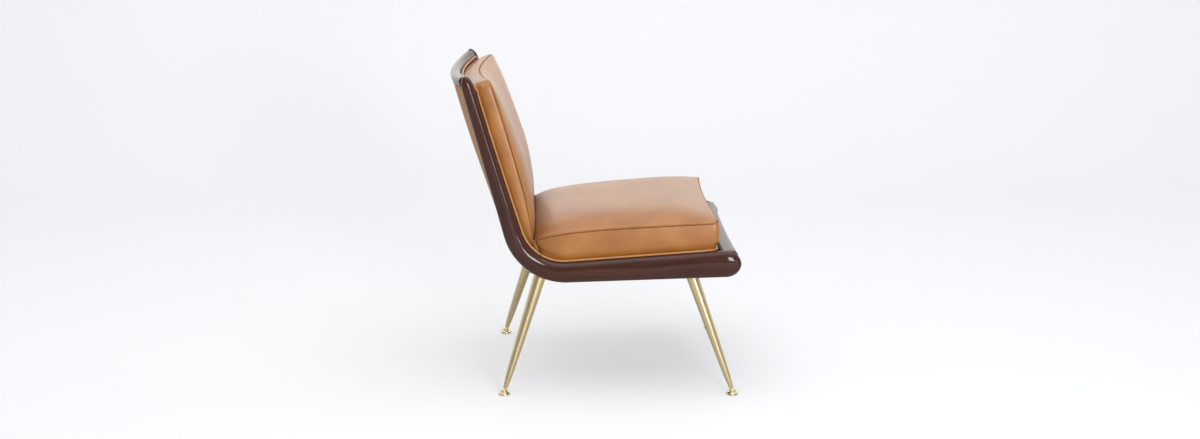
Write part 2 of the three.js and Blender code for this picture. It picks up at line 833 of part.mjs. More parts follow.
function backWeltGeometry() {
  const up = backTop + weltRadius + gap;
  const deep = crestThickness + weltRadius + gap;
  const sideEnd = postLength - up + weltCorner;
  const sideDeep = frameWidth(sideEnd) + weltRadius + 2 * gap;
  const sideRuns = [
    ...runsBetween(sideEnd, postRun, weltSteps).slice(0, -1),
    ...runsBetween(postRun, weltMeeting - 2 * gap, weltSteps),
  ];
  const corner = (angle, side) => {
    const height = up - weltCorner * (1 - Math.sin(angle));
    const half = halfInside(backPoint(height, deep).y);
    const share = 1 - (weltCorner * (1 - Math.cos(angle))) / half;
    const lie = lerp(sideDeep, deep, Math.sin(angle));
    const at = backPoint(height, lie - bowAt(share, height));
    return new THREE.Vector3(side * share * half, at.y, at.z);
  };
  const top = evenShares(weltTopSteps).slice(1, -1).map((share) => {
    const at = backPoint(up, deep - bowAt(share, up));
    return new THREE.Vector3(share * halfInside(at.y), at.y, at.z);
  });
  return tube([
    ...edgePoints(sideRuns, sideEnd, false).reverse(),
    ...cornerAngles.map((angle) => corner(angle, -1)),
    ...top,
    ...cornerAngles.map((angle) => corner(angle, 1)).reverse(),
    ...edgePoints(sideRuns, sideEnd, true),
  ], weltRadius);
}

// Legs, in a frame whose origin is the centre of the ball and whose +Z runs up the leg

// The ball's centre and the frame of one leg, in the frame of its side
function legFrame(length, footY, footInset, splayRun) {
  const rise = legRise(length, footInset, splayRun);
  const localY = (footY + footInset * Math.sin(sideFlare)) / Math.cos(sideFlare);
  const ball = new THREE.Vector3(footInset, localY, ballHeight);
  const up = new THREE.Vector3(legTopInset - footInset, splayRun, rise).normalize();
  const right = new THREE.Vector3(0, 1, 0).cross(up).normalize();
  const basis = new THREE.Matrix4().makeBasis(right, up.clone().cross(right), up);
  return { length, ball, up, matrix: new THREE.Matrix4().makeTranslation(ball).multiply(basis) };
}

const legFrames = {
  front: legFrame(frontLegLength, frontFootY, frontFootInset, frontSplayRun),
  rear: legFrame(rearLegLength, rearFootY, rearFootInset, -rearSplayRun),
};

const legTopBelow = plateThickness + 2 * gap; // below the face of the corner block

function legGeometry(length) {
  const topHeight = length - legTopBelow;
  const boreRadius = ballShankRadius + gap;
  const boreTop = legToeHeight + ballShankLength + gap;
  const socketRadius = studRadius + gap;
  const socketFoot = topHeight - studInLeg - gap;
  return turned([
    [0, boreTop],
    [boreRadius, boreTop],
    [boreRadius, legToeHeight],
    [legToeRadius, legToeHeight],
    [legAnkleRadius, legAnkleHeight],
    [legCalfRadius, legCalfHeight],
    [legTopRadius, topHeight],
    [socketRadius, topHeight],
    [socketRadius, socketFoot],
    [0, socketFoot],
  ]);
}

// Points on part of a circle, the last one left out
function arcPoints(x, y, radius, start, sweep, steps) {
  return Array.from({ length: steps }, (_, i) => {
    const angle = start + (sweep * i) / steps;
    return new THREE.Vector2(x + radius * Math.cos(angle), y + radius * Math.sin(angle));
  });
}

function plateGeometry() {
  const halfWidth = plateWidth / 2 - plateCorner;
  const halfLength = plateLength / 2 - plateCorner;
  const corners = [[1, 1], [-1, 1], [-1, -1], [1, -1]];
  const outline = new THREE.Shape(corners.flatMap(([sideX, sideY], i) =>
    arcPoints(sideX * halfWidth, sideY * halfLength, plateCorner, i * (Math.PI / 2),
      Math.PI / 2, 3)));
  const holes = [[0, studRadius], [screwSpacing / 2, screwRadius], [-screwSpacing / 2, screwRadius]];
  for (const [y, radius] of holes) {
    outline.holes.push(new THREE.Path(arcPoints(0, y, radius + gap, 0, -2 * Math.PI, turnedSides)));
  }
  return new THREE.ExtrudeGeometry(outline, { depth: plateThickness, bevelEnabled: false });
}

function studGeometry() {
  const length = studInLeg + plateThickness + 2 * gap + studInBlock;
  return turned([
    [0, 0],
    [studRadius - studChamfer, 0],
    [studRadius, studChamfer],
    [studRadius, length - studChamfer],
    [studRadius - studChamfer, length],
    [0, length],
  ]);
}

// A pan head below the plate, and a pointed shank
function screwGeometry() {
  const tip = screwLength - screwRadius;
  const screwFaceShare = 0.7;
  return turned([
    [0, -screwHeadHeight],
    [screwHeadRadius * screwFaceShare, -screwHeadHeight],
    [screwHeadRadius, 0],
    [screwRadius, 0],
    [screwRadius, tip],
    [0, screwLength],
  ]);
}

function ballStudGeometry() {
  const steps = 7;
  const neckAngle = Math.asin(ballNeckRadius / ballRadius);
  const ball = Array.from({ length: steps + 1 }, (_, i) => {
    const angle = lerp(Math.PI, neckAngle, i / steps);
    return [i === 0 ? 0 : ballRadius * Math.sin(angle), ballRadius * Math.cos(angle)];
  });
  const top = legToeHeight + ballShankLength;
  return turned([
    ...ball,
    [ballNeckRadius, legToeHeight],
    [ballShankRadius, legToeHeight],
    [ballShankRadius, top],
    [0, top],
  ]);
}

// A round foot with a flared rim and a cup that closes over the ball, upright on the floor
function glideGeometry() {
  const steps = 6;
  const flareInShare = 0.7;
  const flareUpShare = 0.13;
  const waistUpShare = 0.5;
  const cupRadius = ballRadius + cupClearance;
  const lipAngle = Math.acos(cupLipHeight / cupRadius);
  const lip = ballHeight + cupLipHeight;
  const cup = Array.from({ length: steps + 1 }, (_, i) => {
    const angle = lerp(lipAngle, Math.PI, i / steps);
    const radius = i === steps ? 0 : cupRadius * Math.sin(angle);
    return [radius, ballHeight + cupRadius * Math.cos(angle)];
  });
  return turned([
    [0, 0],
    [glideRadius - glideChamfer, 0],
    [glideRadius, glideChamfer],
    [glideRadius, glideRimHeight],
    [lerp(glideRadius, glideWaistRadius, flareInShare), lerp(glideRimHeight, lip, flareUpShare)],
    [glideWaistRadius, lerp(glideRimHeight, lip, waistUpShare)],
    [glideLipRadius, lip],
    ...cup,
  ]);
}

// The corner block over a leg: upright sides, its top under the deck, its foot square to the leg
function blockCorners(frame, reach) {
  const middle = frame.ball.clone().addScaledVector(frame.up, frame.length);
  const top = (y) => {
    const over = deckFoot - gap;
    const ahead = (heelY - y + over * Math.sin(railRise)) / Math.cos(railRise);
    return railPoint(ahead, over).z;
  };
  const foot = (x, y) => {
    const slope = frame.up.x * (x - middle.x) + frame.up.y * (y - middle.y);
    return middle.z - slope / frame.up.z;
  };
  const xs = [frameThickness + gap - reach, frameThickness + blockWidth + reach];
  const ys = [middle.y + blockBehind + reach, middle.y - blockAhead - reach];
  const plan = [[xs[0], ys[0]], [xs[1], ys[0]], [xs[1], ys[1]], [xs[0], ys[1]]];
  return [
    plan.map(([x, y]) => new THREE.Vector3(x, y, foot(x, y) - reach)),
    plan.map(([x, y]) => new THREE.Vector3(x, y, top(y) + reach)),
  ];
}

const screwShifts = [screwSpacing / 2, -screwSpacing / 2];

function blockGeometry(frame) {
  const hole = (radius, depth) =>
    turned([[0, -overrun], [radius, -overrun], [radius, depth], [0, depth]]);
  const at = (y) => frame.matrix.clone()
    .multiply(new THREE.Matrix4().makeTranslation(0, y, frame.length));
  return cut(loft(blockCorners(frame, 0)), [
    [hole(studRadius + gap, studInBlock + gap), at(0)],
    ...screwShifts.map((y) => [hole(screwRadius + gap, screwLength), at(y)]),
  ]);
}

function dustCoverGeometry() {
  const high = deckFoot - gap;
  const sheet = railSlab(deckRear, deckFront, high - dustCoverThickness, high);
  const notches = Object.values(legFrames).flatMap((frame) => {
    const notch = loft(blockCorners(frame, 2 * gap));
    return [[notch, sideMatrix], [notch, mirror.clone().multiply(sideMatrix)]];
  });
  return cut(sheet, notches);
}

// Finishes, and the making of the scene

const finishes = {
  walnut: { color: 0x3d241c, roughness: 0.24, metalness: 0 },
  hardwood: { color: 0x4f3222, roughness: 0.55, metalness: 0 },
  plywood: { color: 0xc7a373, roughness: 0.75, metalness: 0 },
  leather: { color: 0xbe844e, roughness: 0.42, metalness: 0 },
  welting: { color: 0xb57e55, roughness: 0.45, metalness: 0 },
  foam: { color: 0xe8dca6, roughness: 0.95, metalness: 0 },
  cambric: { color: 0x1c1b1b, roughness: 0.95, metalness: 0 },
  brass: { color: 0xbda878, roughness: 0.3, metalness: 1 },
  steel: { color: 0x9a9b9d, roughness: 0.35, metalness: 1 },
};

function piece(name, geometry, finish, matrix = new THREE.Matrix4()) {
  const mesh = new THREE.Mesh(geometry, new THREE.MeshStandardMaterial(finishes[finish]));
  mesh.name = name;
  matrix.decompose(mesh.position, mesh.quaternion, mesh.scale);
  return mesh;
}

function legPieces(end, side) {
  const frame = legFrames[end];
  const name = (part) => `${part}_${end}_${side}`;
  const at = (y, z) => new THREE.Matrix4().makeTranslation(0, y, z);
  const leg = new THREE.Group();
  frame.matrix.decompose(leg.position, leg.quaternion, leg.scale);
  const legTop = frame.length - legTopBelow;
  const plateFoot = legTop + gap;
  leg.add(
    piece(name("leg"), legGeometry(frame.length), "brass"),
    piece(name("ball_stud"), ballStudGeometry(), "brass"),
    piece(name("leg_stud"), studGeometry(), "steel", at(0, legTop - studInLeg)),
    piece(name("leg_plate"), plateGeometry(), "steel", at(0, plateFoot)),
    ...screwShifts.map((y, i) =>
      piece(name(`plate_screw_${i + 1}`), screwGeometry(), "steel", at(y, plateFoot - gap))),
  );
  const floorSpot = new THREE.Matrix4().makeTranslation(frame.ball.x, frame.ball.y, 0);
  return [
    leg,
    piece(name("glide"), glideGeometry(), "brass", floorSpot),
    piece(name("corner_block"), blockGeometry(frame), "hardwood"),
  ];
}

function sidePieces(side) {
  const place = new THREE.Matrix4();
  const pocket = (tenon, matrix) => [tenonGeometry(tenon, 2 * gap), matrix];
  const group = new THREE.Group();
  group.add(
    piece(`back_post_${side}`, cut(postGeometry(), [
      pocket(crestTenon, crestTenonMatrix),
      pocket(rearTenon, rearTenonMatrix),
      pocket(scarfTenon, scarfMatrix),
    ]), "walnut", place),
    piece(`seat_rail_${side}`, cut(railGeometry(), [
      pocket(frontTenon, frontTenonMatrix),
      pocket(scarfTenon, scarfMatrix),
    ]), "walnut", place),
    piece(`crest_tenon_${side}`, tenonGeometry(crestTenon), "hardwood", crestTenonMatrix),
    piece(`front_tenon_${side}`, tenonGeometry(frontTenon), "hardwood", frontTenonMatrix),
    piece(`rear_tenon_${side}`, tenonGeometry(rearTenon), "hardwood", rearTenonMatrix),
    piece(`scarf_tenon_${side}`, tenonGeometry(scarfTenon), "hardwood", scarfMatrix),
    ...legPieces("front", side),
    ...legPieces("rear", side),
  );
  sideMatrix.decompose(group.position, group.quaternion, group.scale);
  return group;
}

const chair = new THREE.Group();
const leftHand = new THREE.Group();
leftHand.scale.x = -1;
leftHand.add(sidePieces("left"));
chair.add(
  sidePieces("right"),
  leftHand,
  piece("crest_rail", crestGeometry(), "walnut"),
  piece("front_rail", frontRailGeometry(), "walnut"),
  piece("rear_seat_rail", rearRailGeometry(), "walnut"),
  piece("lower_back_rail", backRailGeometry(), "hardwood"),
  piece("back_panel", backPanelGeometry(), "plywood"),
  piece("outside_back", outsideBackGeometry(), "leather"),
  piece("back_foam", foamGeometry(backCushion), "foam"),
  piece("back_cover", coverGeometry(backCushion), "leather"),
  piece("back_welt", backWeltGeometry(), "welting"),
  piece("seat_deck", railSlab(deckRear, deckFront, deckFoot, deckTop), "plywood"),
  piece("seat_foam", foamGeometry(seatCushion), "foam"),
  piece("seat_cover", coverGeometry(seatCushion), "leather"),
  piece("seat_welt", seatWeltGeometry(), "welting"),
  piece("dust_cover", dustCoverGeometry(), "cambric"),
);

export default chair;
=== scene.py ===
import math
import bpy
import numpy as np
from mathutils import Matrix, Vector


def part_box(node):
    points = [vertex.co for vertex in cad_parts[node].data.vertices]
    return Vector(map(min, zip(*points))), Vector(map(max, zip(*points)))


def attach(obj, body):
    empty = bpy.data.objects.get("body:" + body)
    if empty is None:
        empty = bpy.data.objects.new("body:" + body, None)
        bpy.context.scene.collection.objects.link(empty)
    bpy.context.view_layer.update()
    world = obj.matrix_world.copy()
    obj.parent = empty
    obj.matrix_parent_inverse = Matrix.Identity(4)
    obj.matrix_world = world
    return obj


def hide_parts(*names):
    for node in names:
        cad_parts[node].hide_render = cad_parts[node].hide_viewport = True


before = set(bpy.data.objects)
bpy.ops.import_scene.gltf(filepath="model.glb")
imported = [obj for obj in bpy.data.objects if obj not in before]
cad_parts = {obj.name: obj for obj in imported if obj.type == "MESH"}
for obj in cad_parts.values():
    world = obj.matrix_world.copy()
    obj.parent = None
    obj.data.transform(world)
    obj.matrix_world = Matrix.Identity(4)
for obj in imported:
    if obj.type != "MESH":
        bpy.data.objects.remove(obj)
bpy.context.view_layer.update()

# %% [markdown]
# # A low upholstered side chair
# The real chair is a low armless seat with two curved walnut side frames, tan leather cushions
# and four splayed brass legs on swivelling feet. Its CAD solids are already in the scene. They
# could be dressed with materials alone, but soft leather, rounded wood and turned brass need
# finer surfaces, so this lesson works new ones out with numpy from the same few sizes.
# Lengths are in millimetres and become metres where a mesh is made. The chair's front is
# towards -Y, and its right side, which the camera sees, is at -X.

MM = 0.001
GAP = 0.3  # the clearance between neighbouring pieces
SIDES = {"right": -1.0, "left": 1.0}
ENDS = ("front", "rear")

# %% [markdown]
# ## Helpers for rounded forms
# Rounded edges and soft changes come from a few short functions. Each could be sculpted or
# bevelled by hand, but a formula gives the same curve to every piece that uses it.

# %% Blends, steps and angles
def lerp(a, b, share):
    """a + share (b - a): a at share 0, b at share 1."""
    return a + (b - a) * share


def smoothstep(x, low, high):
    """t^2 (3 - 2 t), where t runs from 0 at low to 1 at high."""
    t = np.clip((x - low) / (high - low), 0, 1)
    return t * t * (3 - 2 * t)


def power(value, exponent):
    """sign(v) |v|^e, the step that makes a superellipse of a circle."""
    return np.sign(value) * np.abs(value) ** exponent


def circle_angles(count):
    """2 pi (k + 1/2) / n: the angles in the middle of n equal steps round a circle."""
    return 2 * math.pi * (np.arange(count) + 0.5) / count


print("a soft step, a quarter of the way up:", smoothstep(0.25, 0, 1))

# %% [markdown]
# ## Places in the side frames
# Each side of the real chair is one member in the shape of an L: a raked post, a bend and a
# seat rail that climbs to the front. It could be drawn by eye as a bezier curve. Here its outer
# edge is a straight line, an arc of radius R through the angle T = 90 deg - rake + rise, and
# another straight line, because all the other pieces can then be placed by the same formulas.
# The heel is the point where the two straight lines would cross.

# %% Sizes of the side frames
OVERALL_DEPTH = 698.2
MID_HALF_WIDTH = 270.5  # from the middle plane to a frame's outer face, at Y = 0
FLARE = math.radians(4.05)  # the frames open towards the front
RAKE = math.radians(15)  # the posts lean back
RISE = math.radians(2.5)  # the rails climb to the front
POST_LENGTH = 519.5
BEND_RADIUS = 152.0
THICKNESS, FACE_DEPTH = 23.0, 15.0  # all of it, and its round outer part
TIP_LENGTH, NOSE_LENGTH, TIP_SHARE = 28.5, 37.0, 0.45
POST_TOP, POST_FOOT, POST_TAPER = 29.5, 42.0, 1.45
RAIL_REAR, RAIL_FRONT = 49.5, 64.6
TURN = math.pi / 2 - RAKE + RISE
REACH = BEND_RADIUS * math.tan(TURN / 2)  # from the heel to either end of the bend
POST_RUN = POST_LENGTH - REACH
BEND_RUN = BEND_RADIUS * TURN
print(f"the bend turns {math.degrees(TURN):.1f} degrees over {BEND_RUN:.0f} mm")

# %% The crest's section and the bow of the back
CREST_THICKNESS = 26.0
CREST_FOOT = POST_LENGTH - 25.5
CREST_END, CREST_MIDDLE = POST_LENGTH - 2.5, POST_LENGTH - 6
CREST_UPPER, CREST_LOWER = 2.4, 6.0  # superellipse powers: round above, flat below
CREST_BOW, BOW_POWER = 30.0, 2.1
PANEL_FOOT = 88.0


def bow_at(share, up):
    """b = B (1 - (1 - t)^2.1) (1 - s^2), t the height from the panel's foot to the crest."""
    t = np.clip((up - PANEL_FOOT) / (CREST_FOOT - PANEL_FOOT), 0, 1)
    return CREST_BOW * (1 - (1 - t) ** BOW_POWER) * (1 - share * share)


def crest_section(share, angle):
    """(up, deep) on a superellipse that is lower in the middle of the crest than at its ends."""
    top = lerp(CREST_MIDDLE, CREST_END, share * share)
    middle = (top + CREST_FOOT) / 2
    exponent = 2 / np.where(np.sin(angle) > 0, CREST_UPPER, CREST_LOWER)
    up = middle + (middle - CREST_FOOT) * power(np.sin(angle), exponent)
    half = CREST_THICKNESS / 2
    return up, half + half * power(np.cos(angle), exponent) - bow_at(share, CREST_FOOT)


print(f"the crest bows {bow_at(0.0, CREST_FOOT):.0f} mm to the rear")

# %% Where the heel, the nose and the feet lie
LEG_INSET = 41.0  # from a frame's outer face to the top of a leg
LEG_OVER_HEEL = 19.8  # the height of a rear leg's top over the heel
BALL_HEIGHT, FOOT_RADIUS = 9.0, 14.5
FRONT_FOOT_SETBACK, REAR_FOOT_BEHIND = 2.7, 33.5  # from the front of the chair, from the heel
# Length, how far in the foot stands, and how far ahead of the foot the leg's top is
LEGS = {"front": (316.0, 11.0, 106.0), "rear": (300.0, -7.6, -87.5)}

crest_up, crest_deep = crest_section(0.0, circle_angles(16))
HEEL_Y = OVERALL_DEPTH / 2 - np.max(crest_up * math.sin(RAKE) - crest_deep * math.cos(RAKE))
leg_length, foot_inset, leg_lead = LEGS["rear"]
leg_rise = math.sqrt(leg_length**2 - (LEG_INSET - foot_inset) ** 2 - leg_lead**2)
HEEL_Z = BALL_HEIGHT + leg_rise - LEG_OVER_HEEL
nose_inward = FACE_DEPTH + (THICKNESS - FACE_DEPTH) * TIP_SHARE
nose_ahead = (OVERALL_DEPTH / 2 - nose_inward * math.sin(FLARE)) / math.cos(FLARE)
RAIL_LENGTH = (nose_ahead + HEEL_Y + RAIL_FRONT / 2 * math.sin(RISE)) / math.cos(RISE)
FRAME_RUN = POST_RUN + BEND_RUN + RAIL_LENGTH - REACH
FOOT_Y = {
    "front": -OVERALL_DEPTH / 2 + FRONT_FOOT_SETBACK + FOOT_RADIUS,
    "rear": HEEL_Y + REAR_FOOT_BEHIND}
print(f"heel at y {HEEL_Y:.1f}, z {HEEL_Z:.1f}; a side frame is {FRAME_RUN:.0f} mm along its edge")

# %% Points on the post, the bend and the rail
def back_point(up, deep):
    """(y, z) from the height along the rake and the depth in front of the post's rear edge."""
    y = HEEL_Y + up * math.sin(RAKE) - deep * math.cos(RAKE)
    return y, HEEL_Z + up * math.cos(RAKE) + deep * math.sin(RAKE)


def rail_point(ahead, over):
    """(y, z) from the distance in front of the heel and the height over the rail's lower edge."""
    y = HEEL_Y - ahead * math.cos(RISE) + over * math.sin(RISE)
    return y, HEEL_Z + ahead * math.sin(RISE) + over * math.cos(RISE)


def bend_point(angle, deep):
    """(y, z) on an arc of radius R - deep, by the angle back from the bend's front end."""
    reach = BEND_RADIUS - deep
    return rail_point(REACH - reach * np.sin(angle), BEND_RADIUS - reach * np.cos(angle))


def frame_point(run, deep):
    """(y, z) from the run along the outer edge, post first, and the depth from that edge."""
    run, deep = np.broadcast_arrays(np.asarray(run, float), np.asarray(deep, float))
    post = back_point(POST_LENGTH - run, deep)
    bend = bend_point(TURN - (run - POST_RUN) / BEND_RADIUS, deep)
    rail = rail_point(REACH + run - POST_RUN - BEND_RUN, deep)
    stretches = [run < POST_RUN, run < POST_RUN + BEND_RUN]
    return [np.select(stretches, [post[k], bend[k]], rail[k]) for k in (0, 1)]


def frame_width(run):
    """Widths joined by straight changes in the bend and the rail, and by t^1.45 down the post."""
    run = np.asarray(run, float)
    post = lerp(POST_TOP, POST_FOOT, np.clip(run / POST_RUN, 0, 1) ** POST_TAPER)
    bend = lerp(POST_FOOT, RAIL_REAR, (run - POST_RUN) / BEND_RUN)
    share = (run - POST_RUN - BEND_RUN) / (FRAME_RUN - NOSE_LENGTH - POST_RUN - BEND_RUN)
    rail = lerp(RAIL_REAR, RAIL_FRONT, np.clip(share, 0, 1))
    return np.select([run < POST_RUN, run < POST_RUN + BEND_RUN], [post, bend], rail)


print("width at the post's foot:", frame_width(POST_RUN), "mm")

# %% Places across the chair
def half_inside(y):
    """Distance from the middle plane to the inner face of a side frame."""
    return MID_HALF_WIDTH - y * math.tan(FLARE) - THICKNESS / math.cos(FLARE)


def side_place(inward, y, side):
    """(x, y), turned by the flare, from the distance inward of a side frame's outer face."""
    x = -MID_HALF_WIDTH + inward * math.cos(FLARE) + y * math.sin(FLARE)
    return -side * x, -inward * math.sin(FLARE) + y * math.cos(FLARE)


def between_frames(share, y, z, inset=GAP):
    """(x, y, z) at a share from -1 to 1 of the clear width between the side frames."""
    return np.stack(np.broadcast_arrays(share * (half_inside(y) - inset), y, z), -1)


print(f"between the frames at the heel: {2 * half_inside(HEEL_Y):.0f} mm")

# %% [markdown]
# ## Meshes
# A real member is sawn and rounded, a leg is turned and a welt is a wrapped cord. In Blender
# they could be boxes with bevels. Here every surface is a grid of points, ring after ring along
# a path, because whole arrays are quick and the rows follow the grain. A mesh keeps its lengths
# as UVs in metres, along and around, so that wood grain and brush marks follow the piece.

# %% From arrays to a Blender object
def volume_of(points, faces):
    """Six times the volume: the sum of a . (b x c) over the triangles of the faces."""
    a, b, c = (points[faces[:, k]] for k in (0, 1, 2))
    total = np.einsum("ij,ij->", a, np.cross(b, c))
    if faces.shape[1] == 4:
        total += np.einsum("ij,ij->", a, np.cross(c, points[faces[:, 3]]))
    return total


def make(name, points, quads, tris=(), uvs=None, values=None):
    """An object from points in millimetres, with its faces turned outwards.

    uvs holds the corners' lengths for the quads and for the triangles, and values holds a
    number for each point under an attribute's name.
    """
    faces = [np.asarray(quads, int).reshape(-1, 4), np.asarray(tris, int).reshape(-1, 3)]
    if sum(volume_of(points, part) for part in faces if len(part)) < 0:
        faces = [part[:, ::-1] for part in faces]
        uvs = uvs and [part[:, ::-1] for part in uvs]
    mesh = bpy.data.meshes.new(name)
    mesh.from_pydata((points * MM).tolist(), [], faces[0].tolist() + faces[1].tolist())
    if uvs:
        corners = np.concatenate([part.reshape(-1, 2) for part in uvs]) * MM
        mesh.uv_layers.new(name="lengths").data.foreach_set("uv", corners.ravel())
    for key, numbers in (values or {}).items():
        layer = mesh.attributes.new(key, "FLOAT", "POINT")
        layer.data.foreach_set("value", np.asarray(numbers, float))
    mesh.shade_smooth()
    mesh.validate()
    mesh.update()
    obj = bpy.data.objects.new(name, mesh)
    bpy.context.scene.collection.objects.link(obj)
    return obj


def vertex_array(mesh):
    """A mesh's points as an array (points, 3), in metres."""
    places = np.zeros(len(mesh.vertices) * 3)
    mesh.vertices.foreach_get("co", places)
    return places.reshape(-1, 3)


print("1 mm is", MM, "m in a mesh")

# %% Rings joined to a skin
def steps_between(points):
    """The sum of the steps so far along a line of points; for rings, of their mean steps."""
    lengths = np.linalg.norm(np.diff(points, axis=0), axis=-1)
    return np.concatenate([[0], np.cumsum(lengths.mean(1) if lengths.ndim == 2 else lengths)])


def loft(name, rings):
    """A closed skin through rings (rows, points, 3); a fan round a pole closes either end.

    u is the mean length along the rows and v the length round the middle ring.
    """
    rows, count, _ = rings.shape
    along = steps_between(rings)
    middle = rings[rows // 2]
    around = steps_between(np.concatenate([middle, middle[:1]]))
    r, c = np.meshgrid(np.arange(rows - 1), np.arange(count), indexing="ij")
    corners = ((r, c), (r, c + 1), (r + 1, c + 1), (r + 1, c))
    quads = np.stack([row * count + column % count for row, column in corners], -1)
    quad_uv = np.stack([np.stack([along[row], around[column]], -1) for row, column in corners], -2)
    i = np.arange(count)
    j = (i + 1) % count
    last = (rows - 1) * count
    poles = np.full((2, count), rows * count) + np.array([[0], [1]])
    tris = np.concatenate([
        np.stack([j, i, poles[0]], -1), np.stack([last + i, last + j, poles[1]], -1)])
    tri_uv = np.concatenate([
        np.repeat(np.stack([np.full(count, end), around[:-1]], -1)[:, None], 3, 1)
        for end in (0.0, along[-1])])
    points = np.concatenate([rings.reshape(-1, 3), rings[:1].mean(1), rings[-1:].mean(1)])
    return make(name, points, quads, tris, [quad_uv.reshape(-1, 4, 2), tri_uv])


print("a skin through r rings of n points has (r - 1) n quads and 2 n triangles")

# %% Turned pieces and tubes
def turned(name, profile, matrix, sides=48):
    """A piece turned from [radius, height] pairs round its axis and placed by a matrix."""
    profile = np.asarray(profile, float)
    angle = 2 * math.pi * np.arange(sides) / sides
    rings = np.stack([
        profile[:, :1] * np.cos(angle), profile[:, :1] * np.sin(angle),
        np.repeat(profile[:, 1:], sides, 1)], -1)
    return loft(name, rings @ matrix[:3, :3].T + matrix[:3, 3])


def tube(name, line, radius, sides=12):
    """A round tube: p + r (cos a o + sin a u) at each point, o turning as little as it can."""
    tangent = np.gradient(line, axis=0)
    tangent /= np.linalg.norm(tangent, axis=1, keepdims=True)
    angle = 2 * math.pi * np.arange(sides)[:, None] / sides
    out = np.array([0.0, 0.0, 1.0])
    rings = []
    for point, along in zip(line, tangent):
        out = out - along * (out @ along)
        out /= np.linalg.norm(out)
        up = np.cross(along, out)
        rings.append(point + radius * (np.cos(angle) * out + np.sin(angle) * up))
    return loft(name, np.array(rings))


def spread(line, step):
    """The line's points moved to even steps of about the given length."""
    lengths = steps_between(line)
    at = np.linspace(0, lengths[-1], max(2, int(round(lengths[-1] / step)) + 1))
    return np.stack([np.interp(at, lengths, line[:, k]) for k in range(3)], -1)


print("a tube has 12 sides and a turned piece 48, unless it is asked for more")

# %% [markdown]
# ## Finishes
# Every finish is a node material, and no picture is used: noise at the right scale gives grain,
# pores and brush marks. Each could be joined by hand in the node editor. A short helper class
# writes them here instead, so that a finish reads like its recipe.

# %% A helper for node materials
def add_node(tree, kind, inputs=None, **settings):
    """A node with its settings, and with each input linked to a socket or set to a value."""
    node = tree.nodes.new(kind)
    for key, value in settings.items():
        setattr(node, key, value)
    for key, value in (inputs or {}).items():
        if isinstance(value, bpy.types.NodeSocket):
            tree.links.new(value, node.inputs[key])
        else:
            node.inputs[key].default_value = value
    return node


class Finish:
    """A material and the steps by which its nodes are joined."""

    def __init__(self, name):
        self.material = bpy.data.materials.new(name)
        self.material.use_nodes = True
        self.tree = self.material.node_tree

    def add(self, kind, inputs=None, **settings):
        """A node in this material's tree."""
        return add_node(self.tree, kind, inputs, **settings)

    def object_place(self):
        """The object's own coordinates, in metres."""
        return self.add("ShaderNodeTexCoord").outputs["Object"]

    def lengths(self):
        """The lengths along and around the piece, in metres."""
        return self.add("ShaderNodeUVMap", uv_map="lengths").outputs["UV"]

    def stretched(self, place, scale):
        """The place times a scale for each axis."""
        return self.add("ShaderNodeMapping", {"Vector": place, "Scale": scale}).outputs["Vector"]

    def noise(self, place, scale, **more):
        """Smooth noise from 0 to 1 with about scale waves to a unit of the place."""
        inputs = {"Vector": place, "Scale": scale, **more}
        return self.add("ShaderNodeTexNoise", inputs).outputs["Fac"]

    def math(self, operation, *values):
        """A sum, a product or the like, of sockets and numbers."""
        node = self.add("ShaderNodeMath", dict(enumerate(values)), operation=operation)
        return node.outputs[0]

    def between(self, value, low, high, top=1.0):
        """low at value 0 and high at value top, and no further."""
        inputs = {"Value": value, "From Max": top, "To Min": low, "To Max": high}
        return self.add("ShaderNodeMapRange", inputs).outputs["Result"]

    def ramp(self, value, *stops):
        """A colour by value, from (value, colour) stops."""
        node = self.add("ShaderNodeValToRGB", {"Fac": value})
        elements = node.color_ramp.elements
        while len(elements) < len(stops):
            elements.new(0.5)
        for element, (position, color) in zip(elements, stops):
            element.position = position
            element.color = (*color, 1)
        return node.outputs["Color"]

    def mix(self, share, a, b, blend="MIX"):
        """The colour a at share 0 and b at share 1, or a times b in MULTIPLY."""
        node = self.add("ShaderNodeMix", {"Factor": share}, data_type="RGBA", blend_type=blend)
        for socket, value in ((node.inputs[6], a), (node.inputs[7], b)):
            if isinstance(value, bpy.types.NodeSocket):
                self.tree.links.new(value, socket)
            else:
                socket.default_value = (*value, 1)
        return node.outputs[2]

    def bump(self, height, strength, distance, **more):
        """A normal tilted by a height that is distance deep, on top of another Normal."""
        inputs = {"Height": height, "Strength": strength, "Distance": distance, **more}
        return self.add("ShaderNodeBump", inputs).outputs["Normal"]

    def finish(self, **sockets):
        """Fills the shader's own sockets and gives back the material."""
        shader = self.tree.nodes["Principled BSDF"]
        for key, value in sockets.items():
            socket = shader.inputs[key.replace("_", " ")]
            if isinstance(value, bpy.types.NodeSocket):
                self.tree.links.new(value, socket)
            else:
                socket.default_value = value
        return self.material


def shade(color, share):
    """The same colour, darker."""
    return [share * v for v in color]


WHITE = (1, 1, 1)
print("a shade of white:", shade(WHITE, 0.5))

# %% [markdown]
# ### Lacquered walnut
# The frames are dark walnut under a clear glossy lacquer. A scanned texture would show its
# repeats on so long a piece. Noise that is stretched along the UVs gives slow bands and fine
# pores without a repeat, and the shader's coat stands for the lacquer.

# %% Walnut
WALNUT_DARK, WALNUT_LIGHT = (0.04, 0.0104, 0.0055), (0.085, 0.025, 0.0143)


